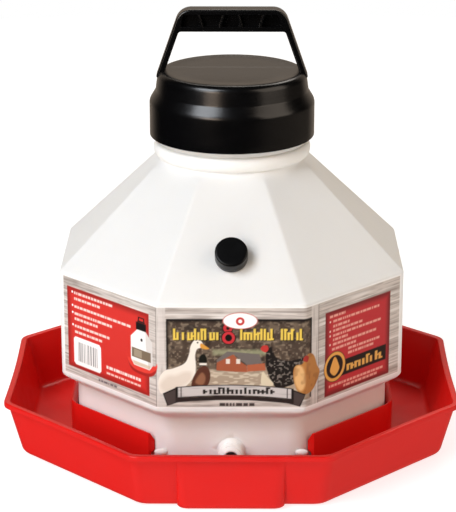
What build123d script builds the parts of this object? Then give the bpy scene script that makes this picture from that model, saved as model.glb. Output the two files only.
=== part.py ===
"""Poultry waterer fount: an octagonal drinking tray, the bottle-shaped jug that stands in it,
the screw lid with its carrying handle, and the small stop cap kept on the jug's shoulder.
Millimetres, +Z up, origin under the middle of the tray, the drinking front faces -Y."""
from build123d import *
import math
import os

os.makedirs("parts", exist_ok=True)

# Driving dimensions ------------------------------------------------------------------------
OVERLAP = 0.5  # how far joined shapes run into one another

# Tray
TRAY_HEIGHT = 48.0
TRAY_LIP_FLATS = 372.0
TRAY_LIP_HEIGHT = 4.5
TRAY_TOP_FLATS = 365.0
TRAY_FOOT_FLATS = 343.0
TRAY_WALL = 2.5
TRAY_CORNER = 14.0
TRAY_FOOT_ROUND = 8.0
BAY_WIDTH = 84.0
BAY_DEPTH_TOP = 182.5
BAY_DEPTH_FOOT = 180.4
BAY_CORNER = 9.0
BAY_BACK = 40.0
SEAT_FLATS = 248.0
SEAT_TOP = 10.0

# Collar that grips the jug's skirt
COLLAR_FLATS = 266.0
COLLAR_WALL = 2.0
COLLAR_TOP = 40.5
COLLAR_LAND_FLATS = 256.2
COLLAR_LAND = (25.7, 33.5)
COLLAR_UNDERCUT = 23.5
COLLAR_END = (66.0, 122.0)
COLLAR_END_ANGLE = 22.5
COLLAR_LEAD = 0.7
GAP_OUTWARD = 30.0
GAP_INWARD = 20.0

# Jug
JUG_WALL = 2.2
BODY_FLATS = 278.0
BODY_CORNER = 6.0
SKIRT_FLATS = 254.0
SKIRT_CORNER = 24.0
SKIRT_TOP = 51.0
JUG_FOOT_ROUND = 6.0
BODY_FOOT = 68.0
SHOULDER = 155.0
SHOULDER_TOP = 237.0
SHOULDER_TOP_FLATS = 118.0
NECK_ROOT = 229.0
BORE_ROOT = 225.0
NECK_RADIUS = 60.5
NECK_BORE = 57.5
NECK_TOP = 280.0
BEAD_RADIUS = 64.2
BEAD_BOTTOM = 238.5
BEAD_TOP = 250.5

# Lid, its handle and its gasket
LID_BOTTOM = 255.0
LID_RADIUS = 67.2
LID_BORE = 64.2
LID_FOOT_ROUND = 1.0
LID_STEP = 282.5
FLARE_BOTTOM = 283.5
FLARE_TOP = 292.0
FLARE_ROUND = 5.0
CROWN_BASE = 62.2
CROWN_RADIUS = 60.8
CROWN_ROUND = 6.0
CROWN_BORE = 56.0
LID_TOP = 308.0
LID_DISC = 307.1
LID_DISC_RADIUS = 51.2
LID_PLATE = 3.0
HANDLE_TOP = 358.6
HANDLE_HALF_TOP = 42.2
HANDLE_HALF_FOOT = 61.8
HANDLE_FOOT = 303.0
HANDLE_DEPTH = 16.0
HANDLE_LEG = 5.6
HANDLE_CORNER = 13.0
GRIP_BOTTOM = 340.5
GRIP_FLANGE = 4.0
GRIP_WEB = 2.5
CHANNEL_END = 2.5
CHANNEL_ROUND = 4.0
RIB_PLACES = (-25.7, -8.1, 6.1, 24.1, 38.6)
RIB_LEAN = 3.4
RIB_THICKNESS = 1.5

# Screw threads
LID_PITCH = 8.0
LID_TURNS = 1.25
LID_THREAD_START = 262.0
NECK_THREAD_DEPTH = 2.2
LID_THREAD_DEPTH = 3.0
LID_THREAD_WIDTH = 3.6
CAP_PITCH = 3.2
CAP_TURNS = 1.25
CAP_THREAD_START = 2.8
SPOUT_TURNS = 2.75
SPOUT_THREAD_START = 4.2
SPOUT_THREAD_DEPTH = 1.3
SPOUT_THREAD_WIDTH = 1.5
CAP_THREAD_DEPTH = 1.4
CAP_THREAD_WIDTH = 1.3
THREAD_ROOT = 0.4

# Outlet spout, storage boss and stop cap
SPOUT_HEIGHT = 27.5
SPOUT_LENGTH = 15.0
SPOUT_RADIUS = 8.6
SPOUT_BORE = 5.4
SPOUT_FLARE = 11.3
SPOUT_FLARE_HEIGHT = 3.0
SPOUT_BORE_REACH = 4.0
BOSS_UP = 40.2
BOSS_LENGTH = 8.0
CAP_RADIUS = 12.9
CAP_LENGTH = 11.5
CAP_BORE = 10.5
CAP_TOP = 2.0
CAP_LIFT = 0.5
CAP_ROUND = 1.6

# Seals
GASKET_OUTER_GAP = 0.4
GASKET_INNER_GAP = 0.3
LINER_GAP = 0.3

# Label
LABEL_BOTTOM = 69.0
LABEL_TOP = 153.5
LABEL_THICKNESS = 0.5
LABEL_EDGE = 4.0

# Lugs low on the skirt
LUG_CENTRE = 57.0
LUG_HEIGHT = 26.0
LUG_RADIUS = 5.0
LUG_INSET = 3.0


# Shared shapes -----------------------------------------------------------------------------
def octagon(height, flats, corner):
    """A level octagon with a flat to each row axis and rounded corners."""
    with BuildSketch(Plane.XY.offset(height)) as section:
        RegularPolygon(radius=flats / 2, side_count=8, major_radius=False, rotation=22.5)
        fillet(section.vertices(), radius=corner)
    return section.sketch


def octagon_stack(levels, corner):
    """Straight-sided octagonal solid through (height, flats) levels, one loft to each stretch."""
    with BuildPart() as stack:
        for low, high in zip(levels, levels[1:]):
            loft(sections=[octagon(*low, corner), octagon(*high, corner)])
    return stack.part


def screw_rib(radius, depth, pitch, turns, width):
    """A helical rib on a cylinder: outward where its depth is positive, inward where negative."""
    root = radius - math.copysign(THREAD_ROOT, depth)
    crest = radius + depth
    with BuildPart() as rib:
        with BuildLine() as path:
            Helix(pitch=pitch, height=pitch * turns, radius=radius)
        with BuildSketch(Plane.XZ) as profile:
            Polygon(
                (root, -width / 2),
                (crest, -width / 4),
                (crest, width / 4),
                (root, width / 2),
                align=None,
            )
        sweep(sections=profile.sketch, path=path.line, is_frenet=True)
    return rib.part


# Tray --------------------------------------------------------------------------------------
def tray_trough(inset, floor, top):
    """The tray's drafted octagonal outside, or with an inset its hollow, without the bay."""
    draft = (TRAY_TOP_FLATS - TRAY_FOOT_FLATS) / (TRAY_HEIGHT - TRAY_LIP_HEIGHT)
    foot_flats = TRAY_FOOT_FLATS - 2 * inset + draft * floor
    top_flats = TRAY_FOOT_FLATS - 2 * inset + draft * top
    with BuildPart() as trough:
        loft(sections=[octagon(floor, foot_flats, TRAY_CORNER), octagon(top, top_flats, TRAY_CORNER)])
        fillet(trough.faces().sort_by(Axis.Z)[0].edges(), radius=TRAY_FOOT_ROUND - inset)
    return trough.part


def tray_bay(inset, floor, top):
    """The sump that bulges out of the front wall, or with an inset its hollow."""
    half = BAY_WIDTH / 2 - inset
    back = TRAY_FOOT_FLATS / 2 - BAY_BACK
    sections = []
    for height, reach in ((floor, BAY_DEPTH_FOOT - inset), (top, BAY_DEPTH_TOP - inset)):
        with BuildSketch(Plane.XY.offset(height)) as plan:
            with Locations((0, -(reach + back) / 2)):
                Rectangle(2 * half, reach - back)
            fillet(plan.vertices().sort_by(Axis.Y)[:2], radius=BAY_CORNER - inset)
        sections.append(plan.sketch)
    with BuildPart() as bay:
        loft(sections=sections)
        front = bay.faces().sort_by(Axis.Z)[0].edges().filter_by(lambda e: e.center().Y < -back - 2)
        fillet(front, radius=TRAY_FOOT_ROUND - inset - 2)
    return bay.part


collar_hollow = octagon_stack(
    [
        (TRAY_WALL, COLLAR_FLATS - 2 * COLLAR_WALL),
        (COLLAR_UNDERCUT, COLLAR_FLATS - 2 * COLLAR_WALL),
        (COLLAR_LAND[0], COLLAR_LAND_FLATS),
        (COLLAR_LAND[1], COLLAR_LAND_FLATS),
        (COLLAR_TOP, COLLAR_FLATS - 2 * COLLAR_LEAD),
    ],
    SKIRT_CORNER,
)

with BuildPart() as collar:
    extrude(
        to_extrude=octagon(TRAY_WALL - OVERLAP, COLLAR_FLATS, SKIRT_CORNER),
        amount=COLLAR_TOP - TRAY_WALL + OVERLAP,
    )
    add(collar_hollow, mode=Mode.SUBTRACT)
    extrude(
        to_extrude=octagon(0, COLLAR_FLATS - 2 * COLLAR_WALL, SKIRT_CORNER),
        amount=TRAY_WALL,
        mode=Mode.SUBTRACT,
    )
    with BuildSketch() as gap:
        end_x, end_y = COLLAR_END
        along = (math.cos(math.radians(COLLAR_END_ANGLE)), math.sin(math.radians(COLLAR_END_ANGLE)))
        outer = (end_x + GAP_OUTWARD * along[0], -end_y - GAP_OUTWARD * along[1])
        inner = (end_x - GAP_INWARD * along[0], -end_y + GAP_INWARD * along[1])
        Polygon(
            (-outer[0], -COLLAR_FLATS),
            (outer[0], -COLLAR_FLATS),
            outer,
            inner,
            (-inner[0], inner[1]),
            (-outer[0], outer[1]),
            align=None,
        )
    extrude(amount=COLLAR_TOP + 1, mode=Mode.SUBTRACT)

with BuildPart() as base_tray:
    add(tray_trough(0, 0, TRAY_HEIGHT - TRAY_LIP_HEIGHT))
    add(tray_bay(0, 0, TRAY_HEIGHT - TRAY_LIP_HEIGHT))
    extrude(
        to_extrude=octagon(TRAY_HEIGHT - TRAY_LIP_HEIGHT - OVERLAP, TRAY_LIP_FLATS, TRAY_CORNER + 1),
        amount=TRAY_LIP_HEIGHT + OVERLAP,
    )
    add(tray_trough(TRAY_WALL, TRAY_WALL, TRAY_HEIGHT + 1), mode=Mode.SUBTRACT)
    add(tray_bay(TRAY_WALL, TRAY_WALL, TRAY_HEIGHT - TRAY_LIP_HEIGHT), mode=Mode.SUBTRACT)
    extrude(to_extrude=octagon(TRAY_WALL - 1, SEAT_FLATS, SKIRT_CORNER), amount=SEAT_TOP - TRAY_WALL + 1)
    add(collar.part)
    extrude(
        to_extrude=octagon(-1, SEAT_FLATS - 2 * TRAY_WALL, SKIRT_CORNER),
        amount=SEAT_TOP - TRAY_WALL + 1,
        mode=Mode.SUBTRACT,
    )
base_tray.part.label = "base_tray"
export_step(base_tray.part, "parts/base_tray.step")


# Jug ---------------------------------------------------------------------------------------
def jug_form(inset):
    """The jug's octagonal outside below the neck, or with an inset its hollow."""
    skirt = SKIRT_FLATS - 2 * inset
    body = BODY_FLATS - 2 * inset
    steps = 5
    swell = []
    for step in range(steps + 1):
        share = step / steps
        flats = skirt + (body - skirt) * (1 - math.cos(math.pi * share)) / 2
        corner = SKIRT_CORNER + (BODY_CORNER - SKIRT_CORNER) * share - inset
        swell.append(octagon(SKIRT_TOP + (BODY_FOOT - SKIRT_TOP) * share + inset / 2, flats, corner))
    with BuildPart() as form:
        extrude(
            to_extrude=octagon(SEAT_TOP + inset, skirt, SKIRT_CORNER - inset),
            amount=SKIRT_TOP - SEAT_TOP - inset / 2,
        )
        fillet(form.faces().sort_by(Axis.Z)[0].edges(), radius=JUG_FOOT_ROUND - inset)
        loft(sections=swell)
        extrude(
            to_extrude=octagon(BODY_FOOT + inset / 2, body, BODY_CORNER - inset),
            amount=SHOULDER - BODY_FOOT - inset,
        )
        loft(
            sections=[
                octagon(SHOULDER - inset / 2, body, BODY_CORNER - inset),
                octagon(SHOULDER_TOP - inset / 2, SHOULDER_TOP_FLATS - 2 * inset, BODY_CORNER - inset),
            ]
        )
    return form.part


slope = math.atan2(SHOULDER_TOP - SHOULDER, (BODY_FLATS - SHOULDER_TOP_FLATS) / 2)
boss_plane = Plane(
    origin=(0, -BODY_FLATS / 2 + BOSS_UP * math.cos(slope), SHOULDER + BOSS_UP * math.sin(slope)),
    x_dir=(1, 0, 0),
    z_dir=(0, -math.sin(slope), math.cos(slope)),
)
spout_plane = Plane(origin=(0, -SKIRT_FLATS / 2, SPOUT_HEIGHT), x_dir=(1, 0, 0), z_dir=(0, -1, 0))
boss_thread = screw_rib(SPOUT_RADIUS, SPOUT_THREAD_DEPTH, CAP_PITCH, CAP_TURNS, SPOUT_THREAD_WIDTH)
spout_thread = screw_rib(SPOUT_RADIUS, SPOUT_THREAD_DEPTH, CAP_PITCH, SPOUT_TURNS, SPOUT_THREAD_WIDTH)
neck_thread = screw_rib(NECK_RADIUS, NECK_THREAD_DEPTH, LID_PITCH, LID_TURNS, LID_THREAD_WIDTH)
bead_root = SHOULDER_TOP_FLATS / 2 + 1

with BuildPart() as jug:
    add(jug_form(0))
    with BuildSketch(Plane.XZ) as neck_section:
        with BuildLine():
            Polyline((0, NECK_ROOT), (bead_root, NECK_ROOT), (bead_root, BEAD_BOTTOM))
            ThreePointArc(
                (bead_root, BEAD_BOTTOM),
                (BEAD_RADIUS, (BEAD_BOTTOM + BEAD_TOP) / 2),
                (NECK_RADIUS, BEAD_TOP),
            )
            Polyline((NECK_RADIUS, BEAD_TOP), (NECK_RADIUS, NECK_TOP), (0, NECK_TOP), (0, NECK_ROOT))
        make_face()
    revolve(axis=Axis.Z)
    add(Pos(0, 0, LID_THREAD_START) * neck_thread)
    with Locations(boss_plane):
        Cylinder(SPOUT_RADIUS, 2 * BOSS_LENGTH)
    with Locations(spout_plane):
        Cylinder(SPOUT_RADIUS, 2 * SPOUT_LENGTH)
        Cone(
            SPOUT_FLARE,
            SPOUT_RADIUS,
            SPOUT_FLARE_HEIGHT,
            align=(Align.CENTER, Align.CENTER, Align.MIN),
        )
    for side in (-1, 1):
        with Locations((side * LUG_CENTRE, -SKIRT_FLATS / 2 + LUG_INSET, LUG_HEIGHT)):
            Sphere(LUG_RADIUS)
    add(boss_plane * Pos(0, 0, CAP_THREAD_START) * boss_thread)
    add(spout_plane * Pos(0, 0, SPOUT_THREAD_START) * spout_thread)
    add(jug_form(JUG_WALL), mode=Mode.SUBTRACT)
    with Locations((0, 0, BORE_ROOT)):
        Cylinder(
            NECK_BORE,
            NECK_TOP - BORE_ROOT + 1,
            align=(Align.CENTER, Align.CENTER, Align.MIN),
            mode=Mode.SUBTRACT,
        )
    with Locations(spout_plane):
        Cylinder(SPOUT_BORE, 2 * (SPOUT_LENGTH + SPOUT_BORE_REACH), mode=Mode.SUBTRACT)
    with Locations(boss_plane):
        Cylinder(
            SPOUT_BORE,
            2 * BOSS_LENGTH - JUG_WALL,
            align=(Align.CENTER, Align.CENTER, Align.CENTER),
            mode=Mode.SUBTRACT,
        )
jug.part.label = "jug"
export_step(jug.part, "parts/jug.step")


# Label wrapped round the three front panels -------------------------------------------------
label_half_width = BODY_FLATS / 2 - LABEL_EDGE / math.sqrt(2)
label_back = BODY_FLATS / math.sqrt(2) - label_half_width
with BuildPart() as wrap_label:
    extrude(
        to_extrude=octagon(LABEL_BOTTOM, BODY_FLATS + 2 * LABEL_THICKNESS, BODY_CORNER + LABEL_THICKNESS),
        amount=LABEL_TOP - LABEL_BOTTOM,
    )
    extrude(
        to_extrude=octagon(LABEL_BOTTOM - 1, BODY_FLATS, BODY_CORNER),
        amount=LABEL_TOP - LABEL_BOTTOM + 2,
        mode=Mode.SUBTRACT,
    )
    with Locations((0, BODY_FLATS / 2 - label_back, SHOULDER / 2)):
        Box(2 * BODY_FLATS, BODY_FLATS, 2 * SHOULDER, mode=Mode.SUBTRACT)
wrap_label.part.label = "wrap_label"
export_step(wrap_label.part, "parts/wrap_label.step")


# Lid with its handle -----------------------------------------------------------------------
with BuildPart() as lid_handle:
    with BuildSketch(Plane.XZ) as lid_section:
        with BuildLine():
            Polyline(
                (LID_BORE, LID_BOTTOM),
                (LID_RADIUS, LID_BOTTOM),
                (LID_RADIUS, FLARE_BOTTOM - 1),
                (CROWN_BASE + 0.6, FLARE_TOP),
                (CROWN_BASE, FLARE_TOP),
                (CROWN_RADIUS, LID_TOP),
                (LID_DISC_RADIUS, LID_TOP),
                (LID_DISC_RADIUS, LID_DISC),
                (0, LID_DISC),
                (0, LID_DISC - LID_PLATE),
                (CROWN_BORE, LID_DISC - LID_PLATE),
                (CROWN_BORE, LID_STEP),
                (LID_BORE, LID_STEP),
                (LID_BORE, LID_BOTTOM),
            )
        make_face()
        corners = lid_section.vertices()
        fillet(corners.sort_by_distance((LID_RADIUS, FLARE_BOTTOM))[0], radius=FLARE_ROUND)
        corners = lid_section.vertices()
        fillet(corners.sort_by_distance((CROWN_RADIUS, LID_TOP))[0], radius=CROWN_ROUND)
        corners = lid_section.vertices()
        fillet(corners.sort_by_distance((LID_RADIUS, LID_BOTTOM))[0], radius=LID_FOOT_ROUND)
    revolve(axis=Axis.Z)
    with BuildSketch(Plane.XZ) as handle_section:
        with BuildLine():
            Polyline(
                (-HANDLE_HALF_FOOT, HANDLE_FOOT),
                (HANDLE_HALF_FOOT, HANDLE_FOOT),
                (HANDLE_HALF_TOP, HANDLE_TOP),
                (-HANDLE_HALF_TOP, HANDLE_TOP),
                close=True,
            )
        make_face()
        fillet(handle_section.vertices().sort_by(Axis.Y)[-2:], radius=HANDLE_CORNER)
        leg_slope = (HANDLE_HALF_FOOT - HANDLE_HALF_TOP) / (HANDLE_TOP - HANDLE_FOOT)
        opening_top = HANDLE_HALF_TOP + leg_slope * (HANDLE_TOP - GRIP_BOTTOM) - HANDLE_LEG
        with BuildLine():
            Polyline(
                (-HANDLE_HALF_FOOT + HANDLE_LEG, HANDLE_FOOT),
                (HANDLE_HALF_FOOT - HANDLE_LEG, HANDLE_FOOT),
                (opening_top, GRIP_BOTTOM),
                (-opening_top, GRIP_BOTTOM),
                close=True,
            )
        make_face(mode=Mode.SUBTRACT)
    extrude(amount=HANDLE_DEPTH / 2, both=True)
    grip_middle = (HANDLE_TOP + GRIP_BOTTOM) / 2
    channel_height = HANDLE_TOP - GRIP_BOTTOM - 2 * GRIP_FLANGE
    channel_depth = (HANDLE_DEPTH - GRIP_WEB) / 2
    rib_angle = math.degrees(math.atan2(RIB_LEAN, channel_height))
    for side in (-1, 1):
        with BuildSketch(Plane.XZ.offset(side * (HANDLE_DEPTH - channel_depth) / 2)) as channel:
            with Locations((0, grip_middle)):
                Rectangle(2 * (opening_top - CHANNEL_END), channel_height)
                fillet(channel.vertices(), radius=CHANNEL_ROUND)
            for place, middle in enumerate(RIB_PLACES):
                with Locations((middle, grip_middle)):
                    Rectangle(
                        RIB_THICKNESS,
                        HANDLE_TOP - GRIP_BOTTOM,
                        rotation=rib_angle if place % 2 == 0 else -rib_angle,
                        mode=Mode.SUBTRACT,
                    )
        extrude(amount=channel_depth / 2, both=True, mode=Mode.SUBTRACT)
    lid_thread = screw_rib(LID_BORE, -LID_THREAD_DEPTH, LID_PITCH, LID_TURNS, LID_THREAD_WIDTH)
    add(Pos(0, 0, LID_THREAD_START - LID_PITCH / 2) * lid_thread)
lid_handle.part.label = "lid_handle"
export_step(lid_handle.part, "parts/lid_handle.step")

with BuildPart() as lid_gasket:
    with BuildSketch(Plane.XY.offset(NECK_TOP)):
        Circle(LID_BORE - GASKET_OUTER_GAP)
        Circle(NECK_BORE + GASKET_INNER_GAP, mode=Mode.SUBTRACT)
    extrude(amount=LID_STEP - NECK_TOP)
lid_gasket.part.label = "lid_gasket"
export_step(lid_gasket.part, "parts/lid_gasket.step")


# Stop cap on the shoulder boss ---------------------------------------------------------------
with BuildPart() as stop_cap:
    with Locations(boss_plane.offset(CAP_LIFT)):
        Cylinder(CAP_RADIUS, CAP_LENGTH, align=(Align.CENTER, Align.CENTER, Align.MIN))
    cap_rims = stop_cap.edges().filter_by(GeomType.CIRCLE)
    fillet(cap_rims.sort_by(Axis(boss_plane.origin, boss_plane.z_dir))[-1], radius=CAP_ROUND)
    with Locations(boss_plane.offset(CAP_LIFT)):
        Cylinder(
            CAP_BORE,
            CAP_LENGTH - CAP_TOP,
            align=(Align.CENTER, Align.CENTER, Align.MIN),
            mode=Mode.SUBTRACT,
        )
    cap_thread = screw_rib(CAP_BORE, -CAP_THREAD_DEPTH, CAP_PITCH, CAP_TURNS, CAP_THREAD_WIDTH)
    add(boss_plane * Pos(0, 0, CAP_THREAD_START - CAP_PITCH / 2) * cap_thread)
stop_cap.part.label = "stop_cap"
export_step(stop_cap.part, "parts/stop_cap.step")

with BuildPart() as cap_liner:
    with Locations(boss_plane.offset(BOSS_LENGTH)):
        Cylinder(
            CAP_BORE - LINER_GAP,
            CAP_LIFT + CAP_LENGTH - CAP_TOP - BOSS_LENGTH,
            align=(Align.CENTER, Align.CENTER, Align.MIN),
        )
cap_liner.part.label = "cap_liner"
export_step(cap_liner.part, "parts/cap_liner.step")
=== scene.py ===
"""Poultry waterer fount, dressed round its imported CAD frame: a red octagonal drinking tray, a white
blow-moulded jug with a printed wrap label, a black screw lid with its carrying handle, and the small
stop cap on the jug's shoulder. The mesh builders work in millimetres and make metres at the end."""

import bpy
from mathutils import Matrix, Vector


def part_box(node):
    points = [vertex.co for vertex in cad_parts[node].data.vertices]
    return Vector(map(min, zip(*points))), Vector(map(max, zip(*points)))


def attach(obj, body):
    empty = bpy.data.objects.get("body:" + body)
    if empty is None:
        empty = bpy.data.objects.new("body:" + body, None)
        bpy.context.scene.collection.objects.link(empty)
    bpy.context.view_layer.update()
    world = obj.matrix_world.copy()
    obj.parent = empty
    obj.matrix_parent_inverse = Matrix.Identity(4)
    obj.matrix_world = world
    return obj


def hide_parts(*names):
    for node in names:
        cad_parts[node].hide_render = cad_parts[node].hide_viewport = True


bl_info = {
    "name": "Poultry Waterer",
    "version": (1, 0, 0),
    "blender": (4, 5, 0),
    "location": "View3D > Sidebar > Waterer",
    "description": "Builds an octagonal poultry waterer round its packed frame",
    "category": "Object",
}

import math

import bpy
import numpy as np
from mathutils import Matrix, Vector

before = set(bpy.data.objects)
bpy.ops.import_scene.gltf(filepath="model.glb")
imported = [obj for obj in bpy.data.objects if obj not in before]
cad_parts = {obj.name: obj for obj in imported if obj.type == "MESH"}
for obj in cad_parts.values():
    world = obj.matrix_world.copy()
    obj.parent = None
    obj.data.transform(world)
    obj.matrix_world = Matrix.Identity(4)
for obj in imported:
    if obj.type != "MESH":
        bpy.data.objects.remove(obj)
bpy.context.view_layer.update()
MM = 0.001


# Sizes read from the frame, in millimetres ------------------------------------------------------
def extent(node):
    """Lowest and highest corner of a CAD node, in millimetres."""
    low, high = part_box(node)
    return low / MM, high / MM


TRAY_HIGH = extent("base_tray")[1]
JUG_LOW, JUG_HIGH = extent("jug")
LABEL_LOW, LABEL_HIGH = extent("wrap_label")
LID_LOW, LID_HIGH = extent("lid_handle")

# The octagons: degrees from one flat to the next, and half that turn
SIDE_TURN = 45.0
HALF_TURN = math.radians(SIDE_TURN / 2)
HALF_CORNER = math.tan(HALF_TURN)

TRAY_HALF = TRAY_HIGH.x
TRAY_HEIGHT = TRAY_HIGH.z
SEAT_HEIGHT = JUG_LOW.z
BODY_HALF = JUG_HIGH.x
MOUTH = JUG_HIGH.z
LID_FOOT = LID_LOW.z
LID_RADIUS = LID_HIGH.x
HANDLE_TOP = LID_HIGH.z

# The jug's own levels and radii
SKIRT_HALF = 127.0
SKIRT_CORNER = 24.0
SHOULDER = 155.0
SHOULDER_TOP = 237.0
NECK_RADIUS = 60.5
NECK_BORE = 57.5
WALL = 2.2
BOSS_UP = 40.2

# The lid's and the stop cap's threads, the same helices as the CAD ribs
LID_PITCH = 8.0
LID_THREAD = 262.0
CAP_PITCH = 3.2
CAP_THREAD = 2.8
THREAD_TURNS = 1.25


def linear(code):
    """sRGB hex to linear RGBA."""
    channels = [int(code[i : i + 2], 16) / 255 for i in (0, 2, 4)]
    return [c / 12.92 if c <= 0.04045 else ((c + 0.055) / 1.055) ** 2.4 for c in channels] + [1.0]


# Settings a user would change -------------------------------------------------------------------
class WatererTraySettings(bpy.types.PropertyGroup):
    """The drinking tray."""

    wall: bpy.props.FloatProperty(
        name="Wall", description="Tray wall thickness", default=2.5 * MM, min=1.5 * MM, unit="LENGTH"
    )
    draft: bpy.props.FloatProperty(
        name="Draft", description="Slope of the tray's wall", default=math.radians(14.2), subtype="ANGLE"
    )
    bow: bpy.props.FloatProperty(
        name="Bow", description="How far the rim's sides bow inward", default=1.2 * MM, unit="LENGTH"
    )
    colour: bpy.props.FloatVectorProperty(
        name="Colour", description="Tray plastic", default=linear("DA1A15"), size=4, subtype="COLOR"
    )


class WatererJugSettings(bpy.types.PropertyGroup):
    """The blow-moulded jug."""

    ridge: bpy.props.FloatProperty(
        name="Ridge", description="Corner radius of the jug's body", default=5.0 * MM, unit="LENGTH"
    )
    parting: bpy.props.FloatProperty(
        name="Parting line", description="Height of the mould line", default=0.25 * MM, unit="LENGTH"
    )
    colour: bpy.props.FloatVectorProperty(
        name="Colour", description="Jug plastic", default=linear("F6F5F2"), size=4, subtype="COLOR"
    )


class WatererLidSettings(bpy.types.PropertyGroup):
    """The lid, its handle and the stop cap."""

    grip_depth: bpy.props.FloatProperty(
        name="Grip depth", description="The handle from front to back", default=16.0 * MM, unit="LENGTH"
    )
    colour: bpy.props.FloatVectorProperty(
        name="Colour", description="Lid plastic", default=linear("040405"), size=4, subtype="COLOR"
    )


class WatererLabelSettings(bpy.types.PropertyGroup):
    """The printed wrap label."""

    grain: bpy.props.FloatProperty(
        name="Print pitch", description="Spacing of the label's mesh", default=0.5 * MM, unit="LENGTH"
    )
    wood: bpy.props.FloatVectorProperty(
        name="Wood", description="Printed weathered wood", default=linear("D0C6BE"), size=4, subtype="COLOR"
    )
    panel: bpy.props.FloatVectorProperty(
        name="Panel", description="Printed panels", default=linear("D4281E"), size=4, subtype="COLOR"
    )


class WatererStageSettings(bpy.types.PropertyGroup):
    """The camera."""

    distance: bpy.props.FloatProperty(
        name="Distance", description="From the camera to its aim point", default=1.769, unit="LENGTH"
    )
    elevation: bpy.props.FloatProperty(
        name="Elevation", description="Camera's height angle", default=math.radians(18.27), subtype="ANGLE"
    )
    azimuth: bpy.props.FloatProperty(
        name="Azimuth", description="Camera's turn aside", default=math.radians(0.36), subtype="ANGLE"
    )
    lens: bpy.props.FloatProperty(
        name="Lens", description="Focal length", default=149.1, unit="CAMERA"
    )


# Small helpers ----------------------------------------------------------------------------------
def node(tree, kind, settings=None, links=None):
    """Adds a node; settings are attributes or input values, links feed its inputs from other sockets."""
    made = tree.nodes.new(kind)
    for key, value in (settings or {}).items():
        if isinstance(key, str) and hasattr(made, key):
            setattr(made, key, value)
        else:
            made.inputs[key].default_value = value
    for key, source in (links or {}).items():
        tree.links.new(source, made.inputs[key])
    return made


def finish_mesh(name, verts, faces, material, angle=35):
    """Makes a smooth-shaded object from millimetre vertices."""
    mesh = bpy.data.meshes.new(name)
    mesh.from_pydata([tuple(v * MM for v in p) for p in verts], [], faces)
    mesh.validate()
    mesh.shade_smooth()
    mesh.set_sharp_from_angle(angle=math.radians(angle))
    mesh.materials.append(material)
    made = bpy.data.objects.new(name, mesh)
    bpy.context.scene.collection.objects.link(made)
    return made


def skin(rings, cap_start=True, cap_end=True):
    """Quads between successive closed rings of points, and a face over each open end."""
    rings = np.asarray(rings, float)
    levels, count = rings.shape[:2]
    verts = rings.reshape(-1, 3)
    faces = []
    for i in range(levels - 1):
        for j in range(count):
            k = (j + 1) % count
            faces.append((i * count + j, i * count + k, (i + 1) * count + k, (i + 1) * count + j))
    if cap_start:
        faces.append(tuple(reversed(range(count))))
    if cap_end:
        faces.append(tuple(range((levels - 1) * count, levels * count)))
    return verts, faces


def arc(centre, radius, start, end, steps):
    """Points of a profile arc, angles in degrees."""
    turns = np.radians(np.linspace(start, end, steps + 1))
    return [(centre[0] + radius * math.cos(a), centre[1] + radius * math.sin(a)) for a in turns]


def smooth(low, high, x):
    """Smooth step from 0 at low to 1 at high."""
    t = np.clip((x - low) / (high - low), 0, 1)
    return t * t * (3 - 2 * t)


def even_flat(face, half):
    """Evenly spaced points along a flat, none pushed out."""
    places = np.linspace(-1, 1, 9)[1:-1] * half
    return places, np.zeros(len(places))


def octagon_ring(half, corner, z, flat=even_flat, corner_steps=8):
    """A level ring of points round an octagon: rounded corners, then the flat's own points."""
    points = []
    reach = (half - corner) / math.cos(HALF_TURN)
    flat_half = half * HALF_CORNER - corner * HALF_CORNER
    for k in range(8):
        at = HALF_TURN + math.radians(SIDE_TURN * k)
        x, y = reach * math.cos(at), reach * math.sin(at)
        for step in range(corner_steps + 1):
            turn = math.radians(SIDE_TURN * (k + step / corner_steps))
            points.append((x + corner * math.cos(turn), y + corner * math.sin(turn), z))
        turn = math.radians(SIDE_TURN * (k + 1))
        cos, sin = math.cos(turn), math.sin(turn)
        places, pushes = flat((k + 1) % 8, flat_half)
        for place, push in zip(places, pushes):
            out = half + push
            points.append((out * cos - place * sin, out * sin + place * cos, z))
    return np.array(points)


def circle_like(ring, radius, z, bump=None):
    """A circle whose points stand at the same bearings as a ring's, with a bump added by bearing."""
    bearing = np.arctan2(ring[:, 1], ring[:, 0])
    out = radius + (bump(bearing, z) if bump else 0)
    return np.stack([out * np.cos(bearing), out * np.sin(bearing), np.full(len(ring), z)], 1)


def thread(start, pitch, turns, height, width, lead=0.12):
    """Radial height of a right-hand helical rib by bearing and level, run out smoothly at its ends."""

    def bump(bearing, z):
        lap = np.mod(bearing, 2 * math.pi) / (2 * math.pi)
        whole = np.clip(np.round((z - start) / pitch - lap), 0, math.ceil(turns) - 1 + (lap * 0))
        along = lap + whole
        away = np.abs(z - start - pitch * along)
        flank = 1 - smooth(width * 0.22, width * 0.5, away)
        ends = smooth(0, lead, along) * (1 - smooth(turns - lead, turns, along))
        return height * flank * ends

    return bump


def lathe(profile, segments=128, bump=None, bump_zone=None):
    """Rings turned about Z from (radius, z) points; the bump acts on the points inside its zone."""
    bearing = np.linspace(0, 2 * math.pi, segments, endpoint=False)
    rings = []
    for place, (radius, z) in enumerate(profile):
        out = np.full(segments, float(radius))
        if bump and bump_zone[0] <= place < bump_zone[1]:
            out = out + bump(bearing, z)
        rings.append(np.stack([out * np.cos(bearing), out * np.sin(bearing), np.full(segments, z)], 1))
    return rings


def closed_lathe(profile, segments, bump=None, zone=None):
    """A lathe whose last ring joins its first, for tubes and caps."""
    rings = lathe(profile, segments, bump, zone)
    return skin(rings + [rings[0]], False, False)


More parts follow.
